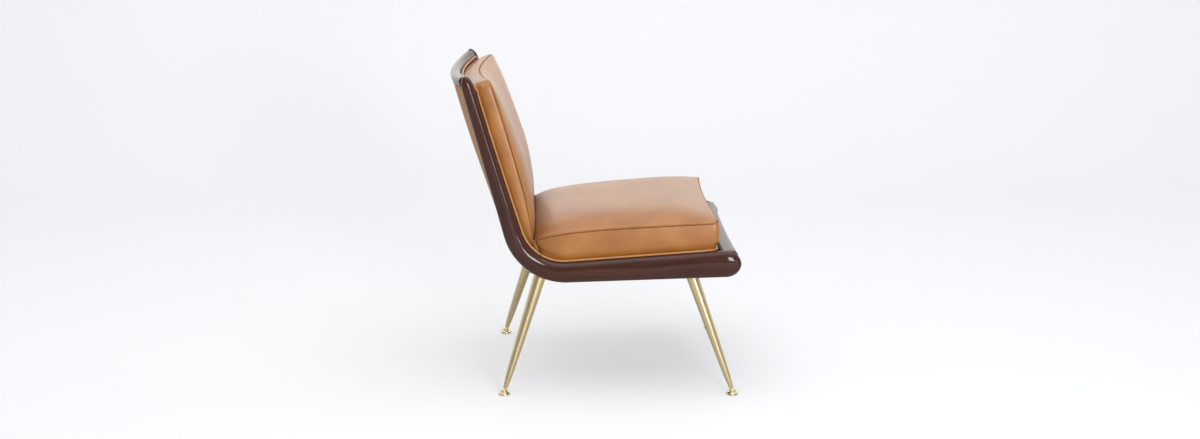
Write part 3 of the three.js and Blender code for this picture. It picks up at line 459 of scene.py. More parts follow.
def lacquered_walnut():
    """Bands 18 times and pores 58 times as long as they are wide, under a smooth coat."""
    n = Finish("walnut")
    lengths = n.lengths()
    bands = n.noise(n.stretched(lengths, (5, 90, 1)), 1.0, Detail=5, Roughness=0.6, Distortion=0.6)
    pores = n.noise(n.stretched(lengths, (26, 1500, 1)), 1.0, Detail=3)
    middle = [lerp(a, b, 0.5) for a, b in zip(WALNUT_DARK, WALNUT_LIGHT)]
    color = n.ramp(bands, (0.3, WALNUT_DARK), (0.52, middle), (0.72, WALNUT_LIGHT))
    color = n.mix(0.4, color, n.ramp(pores, (0.34, (0.55, 0.5, 0.5)), (0.5, WHITE)), "MULTIPLY")
    return n.finish(
        Base_Color=color, Roughness=n.between(pores, 0.3, 0.42), Normal=n.bump(pores, 0.05, 0.0002),
        Specular_IOR_Level=0.05, Coat_Weight=0.72, Coat_Roughness=0.09)


WALNUT = lacquered_walnut()
print("made", WALNUT.name)

# %% [markdown]
# ### Tan leather
# The covers are smooth tan hide. Along the seams the colour is darker: partly the seam's own dark
# line, partly painted shade in its groove. Near the crevice where the seat meets the back cushion
# the colour is darkened and the coat taken off, as painted shade. It could be painted as a texture,
# but the cushions carry two attributes, one for the seams and one for the crevice, so the darkening
# follows the sewing and the crevice whatever the shape. A fine cell pattern is the grain, and slow
# noise the changes of tone. The outside of the back and the welts are paler and duller.

# %% Leather
PEBBLES, CLOUDS, MOTTLES = 620.0, 13.0, 70.0  # cells or waves in a metre


def hide(name, base, deep, seams=False, coat=0.6, roughness=0.3):
    """base and deep mixed by slow noise, times mottles and the lines between the pebbles."""
    n = Finish(name)
    place = n.object_place()
    cells = n.add("ShaderNodeTexVoronoi", {"Vector": place, "Scale": PEBBLES, "Randomness": 1.0},
                  feature="DISTANCE_TO_EDGE").outputs["Distance"]
    cloud = n.noise(place, CLOUDS, Detail=4, Roughness=0.5, Distortion=0.5)
    mottle = n.noise(place, MOTTLES, Detail=4, Roughness=0.6)
    color = n.mix(n.between(cloud, -0.8, 1.7), deep, base)
    tones = n.ramp(mottle, (0.3, (0.7, 0.66, 0.6)), (0.65, WHITE))
    color = n.mix(0.18, color, tones, "MULTIPLY")
    creases = n.ramp(cells, (0.0, (0.55, 0.5, 0.45)), (0.12, WHITE))
    color = n.mix(0.2, color, creases, "MULTIPLY")
    rough = n.between(mottle, roughness, roughness + 0.16)
    if seams:
        seam, crevice_shade = (
            n.add("ShaderNodeAttribute", attribute_name=key).outputs["Fac"]
            for key in ("seam", "crevice_shade"))
        # Painted shade: darker towards the crevice where the seat and the back cushion meet, with
        # no coat there.
        color = n.mix(n.between(crevice_shade, 0.0, 0.75), color, shade(deep, 0.4))
        # Along the seams the colour is darker: partly the seam's own dark line, partly painted
        # shade in its groove.
        color = n.mix(n.between(seam, 0.0, 0.95), color, shade(deep, 0.16))
        rough = n.mix(seam, rough, WHITE)
        coat = n.between(n.math("MAXIMUM", seam, crevice_shade), coat, 0.0)
    grain = n.ramp(cells, (0.0, (0, 0, 0)), (0.22, WHITE))
    normal = n.bump(mottle, 0.12, 0.0012, Normal=n.bump(grain, 0.22, 0.0004))
    return n.finish(
        Base_Color=color, Roughness=rough, Normal=normal, Specular_IOR_Level=0.5,
        Coat_Weight=coat, Coat_Roughness=0.3)


LEATHER = hide("tan_leather", (0.52, 0.206, 0.037), (0.4, 0.14, 0.019), seams=True)
OUTSIDE = hide(
    "outside_leather", (0.6, 0.29, 0.095), (0.53, 0.235, 0.065), coat=0.05, roughness=0.5)
WELTING = hide("welt_leather", (0.62, 0.29, 0.1), (0.52, 0.22, 0.065))
print("made", LEATHER.name, OUTSIDE.name, WELTING.name)

# %% [markdown]
# ### Brass and zinc
# The legs are satin brass with the faint rings that turning leaves, and the feet are polished.
# An anisotropic shader could draw the rings, but the export drops it, so they are fine noise in
# the roughness, stretched round the leg by its UVs. The hidden fittings are clouded zinc.

# %% Metals
def brass(name, base, roughness):
    """Roughness by noise that is 1400 waves to the metre along and 12 around."""
    n = Finish(name)
    lengths = n.lengths()
    rings = n.noise(n.stretched(lengths, (1400.0, 12, 1)), 1.0, Detail=2)
    tone = n.noise(lengths, 30.0, Detail=3)
    return n.finish(
        Base_Color=n.mix(n.between(tone, 0.0, 1.0), shade(base, 0.9), base), Metallic=1.0,
        Roughness=n.between(rings, roughness - 0.03, roughness + 0.05))


def zinc(name, base, roughness):
    """Plated steel: a soft cloud in the colour and the roughness."""
    n = Finish(name)
    cloud = n.noise(n.object_place(), 160.0, Detail=3)
    return n.finish(
        Base_Color=n.mix(n.between(cloud, 0.0, 1.0), shade(base, 0.75), base), Metallic=1.0,
        Roughness=n.between(cloud, roughness, roughness + 0.15))


BRASS = brass("satin_brass", (0.76, 0.62, 0.36), 0.28)
POLISHED = brass("polished_brass", (0.8, 0.66, 0.38), 0.1)
STEEL = zinc("zinc_steel", (0.55, 0.55, 0.52), 0.3)
print("made", BRASS.name, POLISHED.name, STEEL.name)

# %% [markdown]
# ### Hidden wood and the lining
# The rails and blocks that nobody sees are stained beech and plywood, and a thin black lining
# closes the seat from below. They could stay plain, but they show from behind and below, so the
# wood gets streaks along the chair's width and the lining a weave of two crossed waves.

# %% Bare wood and cloth
def bare_wood(name, dark, light):
    """dark to light by noise that is 13 times as long across the chair as it is wide."""
    n = Finish(name)
    place = n.stretched(n.object_place(), (12, 160, 160))
    streaks = n.noise(place, 1.0, Detail=5, Distortion=0.4)
    color = n.ramp(streaks, (0.3, dark), (0.7, light))
    return n.finish(Base_Color=color, Roughness=0.72, Normal=n.bump(streaks, 0.15, 0.0004))


def lining_cloth(name, base):
    """The product of a wave along X and a wave along Y."""
    n = Finish(name)
    place = n.object_place()
    waves = [
        n.add("ShaderNodeTexWave", {"Vector": place, "Scale": 320.0, "Distortion": 1.0},
              bands_direction=direction).outputs["Fac"] for direction in ("X", "Y")]
    weave = n.math("MULTIPLY", *waves)
    return n.finish(
        Base_Color=n.mix(weave, shade(base, 0.5), base), Roughness=0.92,
        Normal=n.bump(weave, 0.3, 0.0004))


BEECH = bare_wood("stained_beech", (0.045, 0.017, 0.01), (0.1, 0.04, 0.022))
PLY = bare_wood("plywood", (0.4, 0.27, 0.14), (0.62, 0.46, 0.28))
LINING = lining_cloth("black_lining", (0.022, 0.021, 0.02))
print("made", BEECH.name, PLY.name, LINING.name)

# %% [markdown]
# ## Putting a piece in its place
# A finished member goes to its place in the chair: it is dressed, it belongs to the chair or to
# a foot that swivels, and it stands in for the plain solids that it covers. These steps could
# be repeated for every piece, but one helper makes sure that none of them is forgotten.

# %% Finish, body, slot and covered solids
def place_piece(obj, material, body="chair", nodes=()):
    """Dresses a piece, lets it ride on a body and stands it in for the named solids."""
    obj.data.materials.append(material)
    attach(obj, body)
    if nodes:
        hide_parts(*nodes)
    size = np.ptp(vertex_array(obj.data), axis=0) / MM
    print(obj.name, len(obj.data.polygons), "faces,", np.round(size, 1), "mm")
    return obj


# %% [markdown]
# ## Camera
# The photograph looks square at the chair's right side, from a little behind its middle and
# slightly down. A camera could be aimed by hand until it fits. This one was fitted to known
# lengths in the picture, so its place and its directions are plain numbers.

# %% The fitted camera
CAMERA_PLACE = np.array([-4.558, 0.166, 1.4402])
CAMERA_RIGHT = np.array([-0.041021, -0.999158, 0.0])
CAMERA_AHEAD = np.array([0.972924, -0.039944, -0.227646])
camera = bpy.data.objects.new("camera", bpy.data.cameras.new("camera"))
bpy.context.scene.collection.objects.link(camera)
turned_axes = [CAMERA_RIGHT, np.cross(CAMERA_RIGHT, CAMERA_AHEAD), -CAMERA_AHEAD, CAMERA_PLACE]
camera.matrix_world = Matrix(np.vstack([np.stack(turned_axes, -1), [0, 0, 0, 1]]).tolist())
camera.data.sensor_width = 36.0
camera.data.lens = 55.5
camera.data.clip_end = 60.0
bpy.context.scene.camera = camera
print("lens", camera.data.lens, "mm, camera at", CAMERA_PLACE)

# %% [markdown]
# ## Side frames
# A side frame is glued up from two lengths of walnut and shaped to one line, with a round outer
# face, a nearly flat inner face and rounded tips. A curve with a bevel could make it, but its
# section changes on the way. Here the section is a superellipse |a|^p + |b|^p = 1, with p = 2.1
# outside and p = 5 inside. Towards a tip it is scaled by sin(t) while the ring moves in by
# 1 - cos(t), which makes a quarter ellipse.

# %% The two side frames
OUTER_POWER, INNER_POWER = 2.1, 5.0
RING_STEP, TIP_RINGS, RING_POINTS = 3.0, 26, 72


def frame_rings(side):
    """Superellipse rings across the member, RING_STEP apart and closer at the tips."""
    straight = np.arange(TIP_LENGTH, FRAME_RUN - NOSE_LENGTH, RING_STEP)
    t = (np.arange(TIP_RINGS) + 0.35) / TIP_RINGS * math.pi / 2
    nose = FRAME_RUN - NOSE_LENGTH * (1 - np.cos(t))
    runs = np.concatenate([TIP_LENGTH * (1 - np.cos(t)), straight, nose[::-1]])
    narrow = np.concatenate([np.sin(t), np.ones(len(straight)), np.sin(t)[::-1]])[:, None]
    angle = circle_angles(RING_POINTS)
    inner = np.sin(angle) > 0
    exponent = 2 / np.where(inner, INNER_POWER, OUTER_POWER)
    across = power(np.cos(angle), exponent)[None] * narrow
    through = power(np.sin(angle), exponent)[None] * lerp(TIP_SHARE, 1.0, narrow)
    y, z = frame_point(runs[:, None], frame_width(runs)[:, None] / 2 * (1 + across))
    depth = np.where(inner, THICKNESS - FACE_DEPTH, FACE_DEPTH)
    x, y = side_place(FACE_DEPTH + depth * through, y, side)
    return np.stack([x, y, z], -1)


for label, side in SIDES.items():
    member = loft(f"side_frame_{label}", frame_rings(side))
    place_piece(member, WALNUT, nodes=[f"back_post_{label}", f"seat_rail_{label}"])

# %% [markdown]
# ## Cross rails
# The crest bows to the rear and the front rail bows a little to the front, and both end against
# the sloping side frames. They could be extruded and cut with a boolean. It is simpler to slide
# a rounded section from side to side, with its width set by the clear space at each point.

# %% The crest and the front rail
FRONT_DEPTH, FRONT_SETBACK, FRONT_BOW, FRONT_INSET = 46.0, 4.0, 5.0, 2.0
FRONT_POWER = 3.2


def crest_place(share, angle):
    """(y, z) on the crest's section."""
    return back_point(*crest_section(share, angle))


def front_place(share, angle):
    """(y, z) on a superellipse that moves forward by b s^2 towards its ends."""
    half = RAIL_FRONT / 2
    middle = RAIL_LENGTH - FRONT_SETBACK - FRONT_DEPTH / 2 - FRONT_BOW * (1 - share * share)
    ahead = middle + FRONT_DEPTH / 2 * power(np.cos(angle), 2 / FRONT_POWER)
    return rail_point(ahead, half + (half - FRONT_INSET) * power(np.sin(angle), 2 / FRONT_POWER))


cross_shares, cross_angles = np.linspace(-1, 1, 121)[:, None], circle_angles(64)[None]
for name, place, node in (
        ("crest", crest_place, "crest_rail"), ("front_seat_rail", front_place, "front_rail")):
    rings = between_frames(cross_shares, *place(cross_shares, cross_angles))
    place_piece(loft(name, rings), WALNUT, nodes=[node])

# %% [markdown]
# ## Cushions
# Both cushions are boxed: a crowned panel of leather is sewn to an upright band, and a welt hides
# the band's foot. A cube with a subdivision modifier would give a pillow without these edges. A
# cushion here is a grid over its panel, rows down its wall and rings across its hidden floor.
# Places in it are shares, from -1 to 1 across it and from 0 to 1 along it, with a height over
# the frame's outer edge and an inset from the side frames.

# %% What both cushions share
WELT = 2.5  # the radius of a welt
CORNER = 16.0  # the radius of a cushion's corners in plan
FOOT_INSET, SKIN_INSET, SWELL = 3.0, 0.5, 16.0
WALL_BULGE, BULGE_POWER = 3.2, 0.7
CROWN_POWER, CROWN_ROUND = 4.0, 0.62


def inner_edge(fall, width):
    """R - sqrt((R - w)^2 - f^2): the depth of the inner edge, f short of the bend's end."""
    return BEND_RADIUS - np.sqrt((BEND_RADIUS - width) ** 2 - np.maximum(0, fall) ** 2)


class Cushion:
    """The form of a boxed cushion; the seat and the back each add their own lines."""

    def across_fullness(self, across):
        """(1 - |s|^4)^0.62: flat in the middle and steep at the seams."""
        return np.maximum(0, 1 - np.abs(across) ** CROWN_POWER) ** CROWN_ROUND

    def crown_at(self, across, along):
        """The panel's rise over its seams: crown times both fullnesses."""
        return self.crown * self.across_fullness(across) * self.fullness(along)

    def welt_top(self, along):
        """The height of the welt's upper side, where the free wall starts."""
        return self.edge(along) + 2 * WELT + 2 * GAP

    def wall_share(self, along, height):
        """0 at the cushion's foot and 1 from the seam upwards."""
        return np.clip((height - self.foot) / (self.seam(along) - self.foot), 0, 1)

    def skin(self, across, along, height, inset):
        """The wall: drawn in at the welt, and bulging by b (4 t (1 - t))^0.7 over it."""
        low = self.welt_top(along)
        drawn_in = lerp(FOOT_INSET, SKIN_INSET, smoothstep(height, low, low + SWELL))
        share = np.clip((height - low) / (self.seam(along) - low), 0, 1)
        bulge = WALL_BULGE * (4 * share * (1 - share)) ** BULGE_POWER * self.free_wall(along)
        return self.place(across, along, height, inset + drawn_in - bulge)


print("the panel's fullness half way to the side:", round(Cushion().across_fullness(0.5), 3))

# %% The seat's lines
DECK_TOP = 47.0
SEAT_REAR, SEAT_FRONT = 43.6, RAIL_LENGTH - 47.0
SEAT_SEAM = 130.0


class Seat(Cushion):
    """The seat lies on its deck between the rails; along it is from the rear to the front."""
    name, crown, end_line = "seat", 32.0, 1.9
    foot = DECK_TOP + GAP
    length = SEAT_FRONT - SEAT_REAR
    half_width = MID_HALF_WIDTH - THICKNESS
    rear_dip, rear_roll = 0.24, 0.15
    front_dip, front_power = 0.55, 7.3
    rear_slope, rear_press = 12.4, 6.9
    front_slope, front_hollow, front_lean = 9.0, 11.0, 0.15

    def free_wall(self, along):
        """No bulge where the back cushion presses on the seat."""
        return smoothstep(along, 0.03, 0.16)

    def fullness(self, along):
        """A roll down to the rear, and a fall by t^7.3 to the arched front seam."""
        ramp = 1 - self.rear_dip * np.maximum(0, 1 - along / self.rear_roll) ** 2
        return ramp * (1 - self.front_dip * along**self.front_power)

    def seam(self, along):
        """130 - 9.5 b - 17.5 b^6 over the rail's lower edge, b the share back from the front."""
        back = 1 - along
        return SEAT_SEAM - 9.5 * back - 17.5 * back**6

    def edge(self, along):
        """The height of the frame's inner edge beside the seat."""
        ahead = lerp(SEAT_REAR, SEAT_FRONT, along)
        return inner_edge(REACH - ahead, frame_width(POST_RUN + BEND_RUN + ahead - REACH))

    def place(self, across, along, height, inset):
        """(x, y, z): both ends slope, the rear is pressed in and the front is hollow in plan."""
        wall = self.wall_share(along, height)
        rear = SEAT_REAR + self.rear_slope * (1 - wall) + inset
        rear = rear + self.rear_press * self.across_fullness(across) * wall**3
        front = SEAT_FRONT - self.front_slope * (1 - wall) - inset
        front = front - self.front_hollow * (1 - across * across) * wall
        front = front - self.front_lean * np.maximum(0, height - self.seam(along))
        y, z = rail_point(lerp(rear, front, along), height)
        return between_frames(across, y, z, inset)


print(f"the seat is {Seat.length:.0f} mm long")

# %% The back cushion's lines
PANEL_DEEP, PANEL_THICKNESS, PANEL_CLEARANCE = 16.0, 6.0, 1.6
BACK_FOOT, BACK_TOP = 67.0, CREST_FOOT + 1.0


class Back(Cushion):
    """The back cushion stands on the seat before its panel; along it is upwards."""
    name, crown, end_line = "back", 35.0, 0.9
    foot = PANEL_DEEP + PANEL_THICKNESS + PANEL_CLEARANCE
    length = BACK_TOP - BACK_FOOT
    half_width = half_inside(back_point((BACK_FOOT + BACK_TOP) / 2, 0)[0])
    foot_share, foot_power = 0.5, 1.6
    top_fall, top_power, top_round = 0.55, 14.0, 0.6
    seam_peak, seam_limit = 0.394, 0.843
    foot_slope = 20.0

    def free_wall(self, along):
        """No bulge where the cushion stands on the seat or meets the crest."""
        return smoothstep(along, 0.05, 0.25) * smoothstep(1 - along, 0.01, 0.06)

    def fullness(self, along):
        """Fullest half way up, thin at the foot, and closed at the top by (1 - t^14)^0.6."""
        foot = 1 - np.maximum(0, 1 - along / self.foot_share) ** self.foot_power
        fall = 1 - self.top_fall * np.maximum(0, along - self.foot_share)
        return foot * fall * np.maximum(0, 1 - along**self.top_power) ** self.top_round

    def seam(self, along):
        """75.8 - 5.8 a^2 above the peak and 75.8 - 15 b^2 below it."""
        above = np.clip((along - self.seam_peak) / (1 - self.seam_peak), 0, 1)
        below = np.clip((self.seam_peak - along) / self.seam_peak, 0, self.seam_limit)
        return 75.8 - 5.8 * above**2 - 15.0 * below**2

    def edge(self, along):
        """The depth of the frame's inner edge beside the cushion."""
        up = lerp(BACK_FOOT, BACK_TOP, along)
        return inner_edge(REACH - up, frame_width(POST_LENGTH - up))

    def place(self, across, along, height, inset):
        """(x, y, z): the cushion follows the bow of the back, and its foot slopes."""
        wall = self.wall_share(along, height)
        foot = BACK_FOOT + self.foot_slope * (1 - wall) + inset
        up = lerp(foot, BACK_TOP - inset, along)
        y, z = back_point(up, height - bow_at(across, up))
        return between_frames(across, y, z, inset)


print(f"the back cushion is {Back.length:.0f} mm high")

# %% A grid with crowded edges and rounded corners
PANEL_STEPS, EASE = 104, 0.88


def square_loop(n):
    """The points on a grid's border, once round, as indices into the flattened grid."""
    i = np.arange(n)
    pairs = ((i, 0 * i), (0 * i + n, i), (n - i, 0 * i + n), (0 * i, n - i))
    return np.concatenate([row * (n + 1) + column for row, column in pairs])


def rounded(a, b, corner_a, corner_b):
    """Moves points of the square [-1, 1]^2 so that each ring round it has rounded corners."""
    ring = np.maximum(np.abs(a), np.abs(b)) + 1e-9
    sides = [(a / ring, corner_a), (b / ring, corner_b)]
    over = [np.maximum(0, np.abs(u) - (1 - corner)) / corner for u, corner in sides]
    reach = np.maximum(1.0, np.hypot(*over))
    return [
        np.sign(u) * np.where(past > 0, 1 - corner + corner * past / reach, np.abs(u)) * ring
        for (u, corner), past in zip(sides, over)]


def panel_grid(cushion):
    """Shares across and along, the distance to the seam, and 1 next to the far end's seam.

    The steps are sin(0.88 t) for even t, so they are closer near the seams.
    """
    quarter = math.pi / 2 * EASE
    eased = np.sin(np.linspace(-1, 1, PANEL_STEPS + 1) * quarter) / math.sin(quarter)
    a, b = np.meshgrid(eased, eased, indexing="ij")
    to_seam = (1 - np.maximum(np.abs(a), np.abs(b))) * min(cushion.half_width, cushion.length / 2)
    at_end = smoothstep(b - np.abs(a), -0.03, 0.03)
    a, b = rounded(a, b, CORNER / cushion.half_width, 2 * CORNER / cushion.length)
    return a, np.clip((b + 1) / 2, 0, 1), to_seam, at_end


print("a panel has", PANEL_STEPS**2, "quads inside", len(square_loop(PANEL_STEPS)), "border points")

# %% Points and faces of a cushion
WALL_STEPS, WALL_EASE = 26, 1.5
FLOOR_SHARES = (0.9, 0.6, 0.3)
GROOVE, GROOVE_WIDTH, GROOVE_DROP = 1.5, 1.4, 0.6
# A seam's dark line is partly its own colour and partly painted shade in the groove.
SEAM_LINE = 0.9  # the half width of a seam's dark line
# How far from the cushions' crevice the painted shade reaches, in mm.
CREVICE_SHADE_LENGTH = 30.0


def cushion_points(cushion):
    """Points, nearness to the seam, freedom to swell, and painted shade near the cushions' crevice.

    The seam is a groove g exp(-(d / w)^2), d the distance from it over the panel or down the wall.
    """
    across, along, to_seam, at_end = panel_grid(cushion)
    groove = GROOVE * np.exp(-((to_seam / GROOVE_WIDTH) ** 2))
    height = cushion.seam(along) + cushion.crown_at(across, along) - groove * GROOVE_DROP
    line = lerp(SEAM_LINE, cushion.end_line, at_end)
    top = cushion.place(across, along, height, SKIN_INSET + groove).reshape(-1, 3)
    near = np.exp(-((to_seam / line) ** 2)).ravel()
    parts = [(top, near, smoothstep(to_seam, 1.0, 26.0).ravel())]
    border = square_loop(PANEL_STEPS)
    edge_across, edge_along, half_line = (v.ravel()[border] for v in (across, along, line))
    seam = cushion.seam(edge_along) + cushion.crown_at(edge_across, edge_along)
    low = cushion.welt_top(edge_along)
    for share in np.linspace(0, 1, WALL_STEPS + 1)[1:] ** WALL_EASE:
        down = share * (seam - cushion.foot)
        lip = GROOVE * np.exp(-((down / GROOVE_WIDTH) ** 2))
        wall = cushion.skin(edge_across, edge_along, seam - down, lip)
        free = smoothstep(down, 1, 14) * smoothstep(seam - down - low, 0, 12)
        parts.append((wall, np.exp(-((down / half_line) ** 2)), free))
    held = np.zeros(len(border))
    for share in FLOOR_SHARES:
        ring = cushion.skin(edge_across * share, lerp(0.5, edge_along, share), cushion.foot, 0.0)
        parts.append((ring, held, held))
    pole = cushion.skin(np.zeros(1), np.full(1, 0.5), cushion.foot, 0.0)
    parts.append((pole, held[:1], held[:1]))
    rings = WALL_STEPS + len(FLOOR_SHARES)
    # Painted shade for the crevice: 1 at the seat's rear and the back's foot, fading over about 30
    # mm.
    reach = np.concatenate([along.ravel(), np.tile(edge_along, rings), [0.5]]) * cushion.length
    crevice_shade = np.exp(-((reach / CREVICE_SHADE_LENGTH) ** 1.5))
    return [np.concatenate(part) for part in zip(*parts)] + [crevice_shade]


def cushion_faces():
    """Quads over the panel and between the rings below it, and a fan round the floor's pole."""
    n, border = PANEL_STEPS, square_loop(PANEL_STEPS)
    count, rings = len(border), WALL_STEPS + len(FLOOR_SHARES)
    i, j = np.meshgrid(np.arange(n), np.arange(n), indexing="ij")
    corner = i * (n + 1) + j
    panel = np.stack([corner, corner + n + 1, corner + n + 2, corner + 1], -1).reshape(-1, 4)
    rows = [border] + [(n + 1) ** 2 + k * count + np.arange(count) for k in range(rings)]
    bands = [
        np.stack([upper, lower, np.roll(lower, -1), np.roll(upper, -1)], -1)
        for upper, lower in zip(rows, rows[1:])]
    pole = np.full(count, (n + 1) ** 2 + rings * count)
    return np.concatenate([panel, *bands]), np.stack([rows[-1], pole, np.roll(rows[-1], -1)], -1)


print("a cushion has", sum(map(len, cushion_faces())), "faces")

# %% [markdown]
# ### Air in the covers
# Leather over foam swells between its seams. It could be pushed out by hand, but the cloth
# simulation finds the swelling by itself: the grid is cloth with pressure inside, held at its
# seams and foot. This leather is taut, so the short wrinkles of the simulation are smoothed
# away, and no point moves further than a cap.

# %% Inflating with cloth
AIR_FRAMES, HOLD_STEPS = 20, 10
LONG_SMOOTHING, SHORT_SMOOTHING, WRINKLE_SHARE = 60, 6, 0.22
LEAST_FREEDOM = 0.02


def smoothed(values, edges, rounds):
    """Each point's value moved half way to its neighbours' mean, a number of times over."""
    count = np.bincount(edges.ravel(), minlength=len(values))[:, None]
    for _ in range(rounds):
        total = np.zeros_like(values)
        for near, far in ((0, 1), (1, 0)):
            for axis in range(3):
                beside = values[edges[:, far], axis]
                total[:, axis] += np.bincount(edges[:, near], beside, len(values))
        values = 0.5 * values + 0.5 * total / count
    return values


def blown_up(obj, free):
    """The points of the mesh as cloth with air in it, held where it isn't free."""
    group = obj.vertex_groups.new(name="held")
    held = np.round((1 - free) * HOLD_STEPS)
    for level in range(1, HOLD_STEPS + 1):
        chosen = np.nonzero(held == level)[0]
        if len(chosen):
            group.add(chosen.tolist(), level / HOLD_STEPS, "REPLACE")
    cloth = obj.modifiers.new("air", "CLOTH")
    settings = cloth.settings
    settings.quality = 4
    settings.mass = 0.4
    settings.tension_stiffness = settings.compression_stiffness = 30
    settings.shear_stiffness = 20
    settings.bending_stiffness = 4
    settings.use_pressure = True
    settings.uniform_pressure_force = 4.0
    settings.shrink_min = -0.004
    settings.vertex_group_mass = "held"
    settings.effector_weights.gravity = 0
    cloth.collision_settings.use_collision = False
    cloth.point_cache.frame_start, cloth.point_cache.frame_end = 1, AIR_FRAMES
    scene = bpy.context.scene
    for step in range(1, AIR_FRAMES + 1):
        scene.frame_set(step)
    moved = vertex_array(obj.evaluated_get(bpy.context.evaluated_depsgraph_get()).data)
    scene.frame_set(1)
    obj.modifiers.clear()
    obj.vertex_groups.clear()
    return moved


def inflate(obj, free, cap):
    """Moves each point by c tanh(d / c), d its smoothed way in the cloth, c the cap there."""
    mesh = obj.data
    rest = vertex_array(mesh)
    shift = blown_up(obj, free) - rest
    edges = np.zeros(len(mesh.edges) * 2, dtype=np.int64)
    mesh.edges.foreach_get("vertices", edges)
    slow, quick = (
        smoothed(shift, edges.reshape(-1, 2), rounds)
        for rounds in (LONG_SMOOTHING, SHORT_SMOOTHING))
    shift = lerp(slow, quick, WRINKLE_SHARE)
    length = np.linalg.norm(shift, axis=1, keepdims=True)
    limit = cap * MM * np.maximum(free, LEAST_FREEDOM)[:, None]
    shift *= limit * np.tanh(length / limit) / np.maximum(length, 1e-9)
    mesh.vertices.foreach_set("co", (rest + shift).ravel())
    mesh.update()
    print(obj.name, "moved up to", round(float(np.linalg.norm(shift, axis=1).max() / MM), 2), "mm")


# %% The seat and the back cushion
SWELL_CAP = 3.0
for cushion, fill in ((Seat(), 0.8), (Back(), 0.75)):
    points, seam, free, crevice_shade = cushion_points(cushion)
    pad = make(f"{cushion.name}_cushion", points, *cushion_faces(),
               values={"seam": seam, "crevice_shade": crevice_shade})
    inflate(pad, free, SWELL_CAP)
    nodes = [f"{cushion.name}_cover", f"{cushion.name}_foam"]
    place_piece(pad, LEATHER, nodes=nodes)

# %% [markdown]
# ## Corner tongues
# Where both cushions and the side frame meet, an upholsterer pushes a tongue of leather down
# so that no daylight shows. The cushions could be pressed together to close the corner, but
# they are separate pieces, so a flat rounded strip stands behind it as the real tongue does.

# %% A tongue on each side
MEETING = POST_RUN + BEND_RUN * 0.52  # where the cushions meet, along the frame's edge
TONGUE_BACK, TONGUE_AHEAD = 58.0, 14.0  # how far it reaches from the cushions' meeting
TONGUE_DEEP, TONGUE_HALF = 11.0, 19.0
TONGUE_INWARD, TONGUE_THIN = 9.0, 1.2


def corner_tuck(side):
    """A superellipse of power 6, long in the depth and thin across, slid along the edge."""
    run = np.linspace(MEETING - TONGUE_BACK, MEETING + TONGUE_AHEAD, 15)[:, None]
    angle = circle_angles(32)[None]
    deep = frame_width(run) + TONGUE_DEEP + TONGUE_HALF * power(np.cos(angle), 1 / 3)
    y, z = frame_point(run, deep)
    inward = THICKNESS + TONGUE_INWARD + TONGUE_THIN * power(np.sin(angle), 1 / 3)
    x, y = side_place(inward, y, side)
    return np.stack(np.broadcast_arrays(x, y, z), -1)


for label, side in SIDES.items():
    place_piece(loft(f"corner_tuck_{label}", corner_tuck(side)), LEATHER)

# %% [markdown]
# ## Welts
# A welt is a cord wrapped in leather that hides the foot of a cushion's wall. It could be a
# bezier curve with a round bevel. Here it is a tube along a line that is worked out from the
# frame's own edge, so that it always lies in the corner between the wood and the leather. The
# seat's welt runs along both rails and across the front, the back's along both posts and
# the crest, and both end where the cushions meet.

# %% Lines of the welts
WELT_CORNER = CORNER + WELT + GAP
WELT_REACH = 5.0  # how far a welt reaches over the frame's inner face
QUARTER = np.linspace(0, math.pi / 2, 14)[1:]


def edge_line(runs, corner_run, side):
    """Points beside the inner edge of a side frame, which come in towards the corner."""
    y, z = frame_point(runs, frame_width(runs) + WELT + 2 * GAP)
    out = WELT_REACH * smoothstep(np.abs(runs - corner_run), 0, WELT_CORNER)
    x, y = side_place(THICKNESS - out, y, side)
    return np.stack([x, y, z], -1)


def seat_welt_line():
    """Rail, quarter circle, front, quarter circle, rail."""
    lie = RAIL_FRONT - FRONT_INSET + WELT + GAP
    wall_share = (lie - DECK_TOP) / (SEAT_SEAM - DECK_TOP)
    ahead = SEAT_FRONT - Seat.front_slope * (1 - wall_share) - FOOT_INSET + WELT + GAP
    end = POST_RUN + BEND_RUN + ahead - WELT_CORNER - REACH
    runs = np.arange(MEETING + 2 * GAP, end, 4.0)
    y, z = rail_point(ahead - WELT_CORNER * (1 - np.sin(QUARTER)), lie)
    half = half_inside(y) - WELT_CORNER * (1 - np.cos(QUARTER))
    near, far = (np.stack([side * half, y, z], -1) for side in (-1, 1))
    return np.concatenate([
        edge_line(runs, end, -1), near, far[::-1], edge_line(runs, end, 1)[::-1]])


def back_welt_line():
    """Post, quarter circle, the bowed crest, quarter circle, post."""
    up = BACK_TOP + WELT + GAP
    deep = CREST_THICKNESS + WELT + GAP
    end = POST_LENGTH - up + WELT_CORNER
    runs = np.linspace(end, MEETING - 2 * GAP, 120)
    height = up - WELT_CORNER * (1 - np.sin(QUARTER))
    half = half_inside(back_point(height, deep)[0])
    share = 1 - WELT_CORNER * (1 - np.cos(QUARTER)) / half
    side_deep = frame_width(end) + WELT + 2 * GAP
    y, z = back_point(height, lerp(side_deep, deep, np.sin(QUARTER)) - bow_at(share, height))
    near, far = (np.stack([side * share * half, y, z], -1) for side in (-1, 1))
    share = np.linspace(-0.9, 0.9, 61)
    top = between_frames(share, *back_point(up, deep - bow_at(share, up)), inset=0)
    return np.concatenate([
        edge_line(runs, end, -1)[::-1], near, top, far[::-1], edge_line(runs, end, 1)])


for label, line in (("seat", seat_welt_line()), ("back", back_welt_line())):
    welt = tube(f"{label}_piping", spread(line, 3.0), WELT)
    place_piece(welt, WELTING, nodes=[f"{label}_welt"])

# %% [markdown]
# ## Outside back
# The rear of the back is closed by one piece of leather from under the crest down and round
# into the bend. A plane with a solidify modifier could do it. Here its two faces are worked out
# together: a sheet that follows the bow, drawn in where it is tacked along its edges. A thin
# bead lies under the crest.

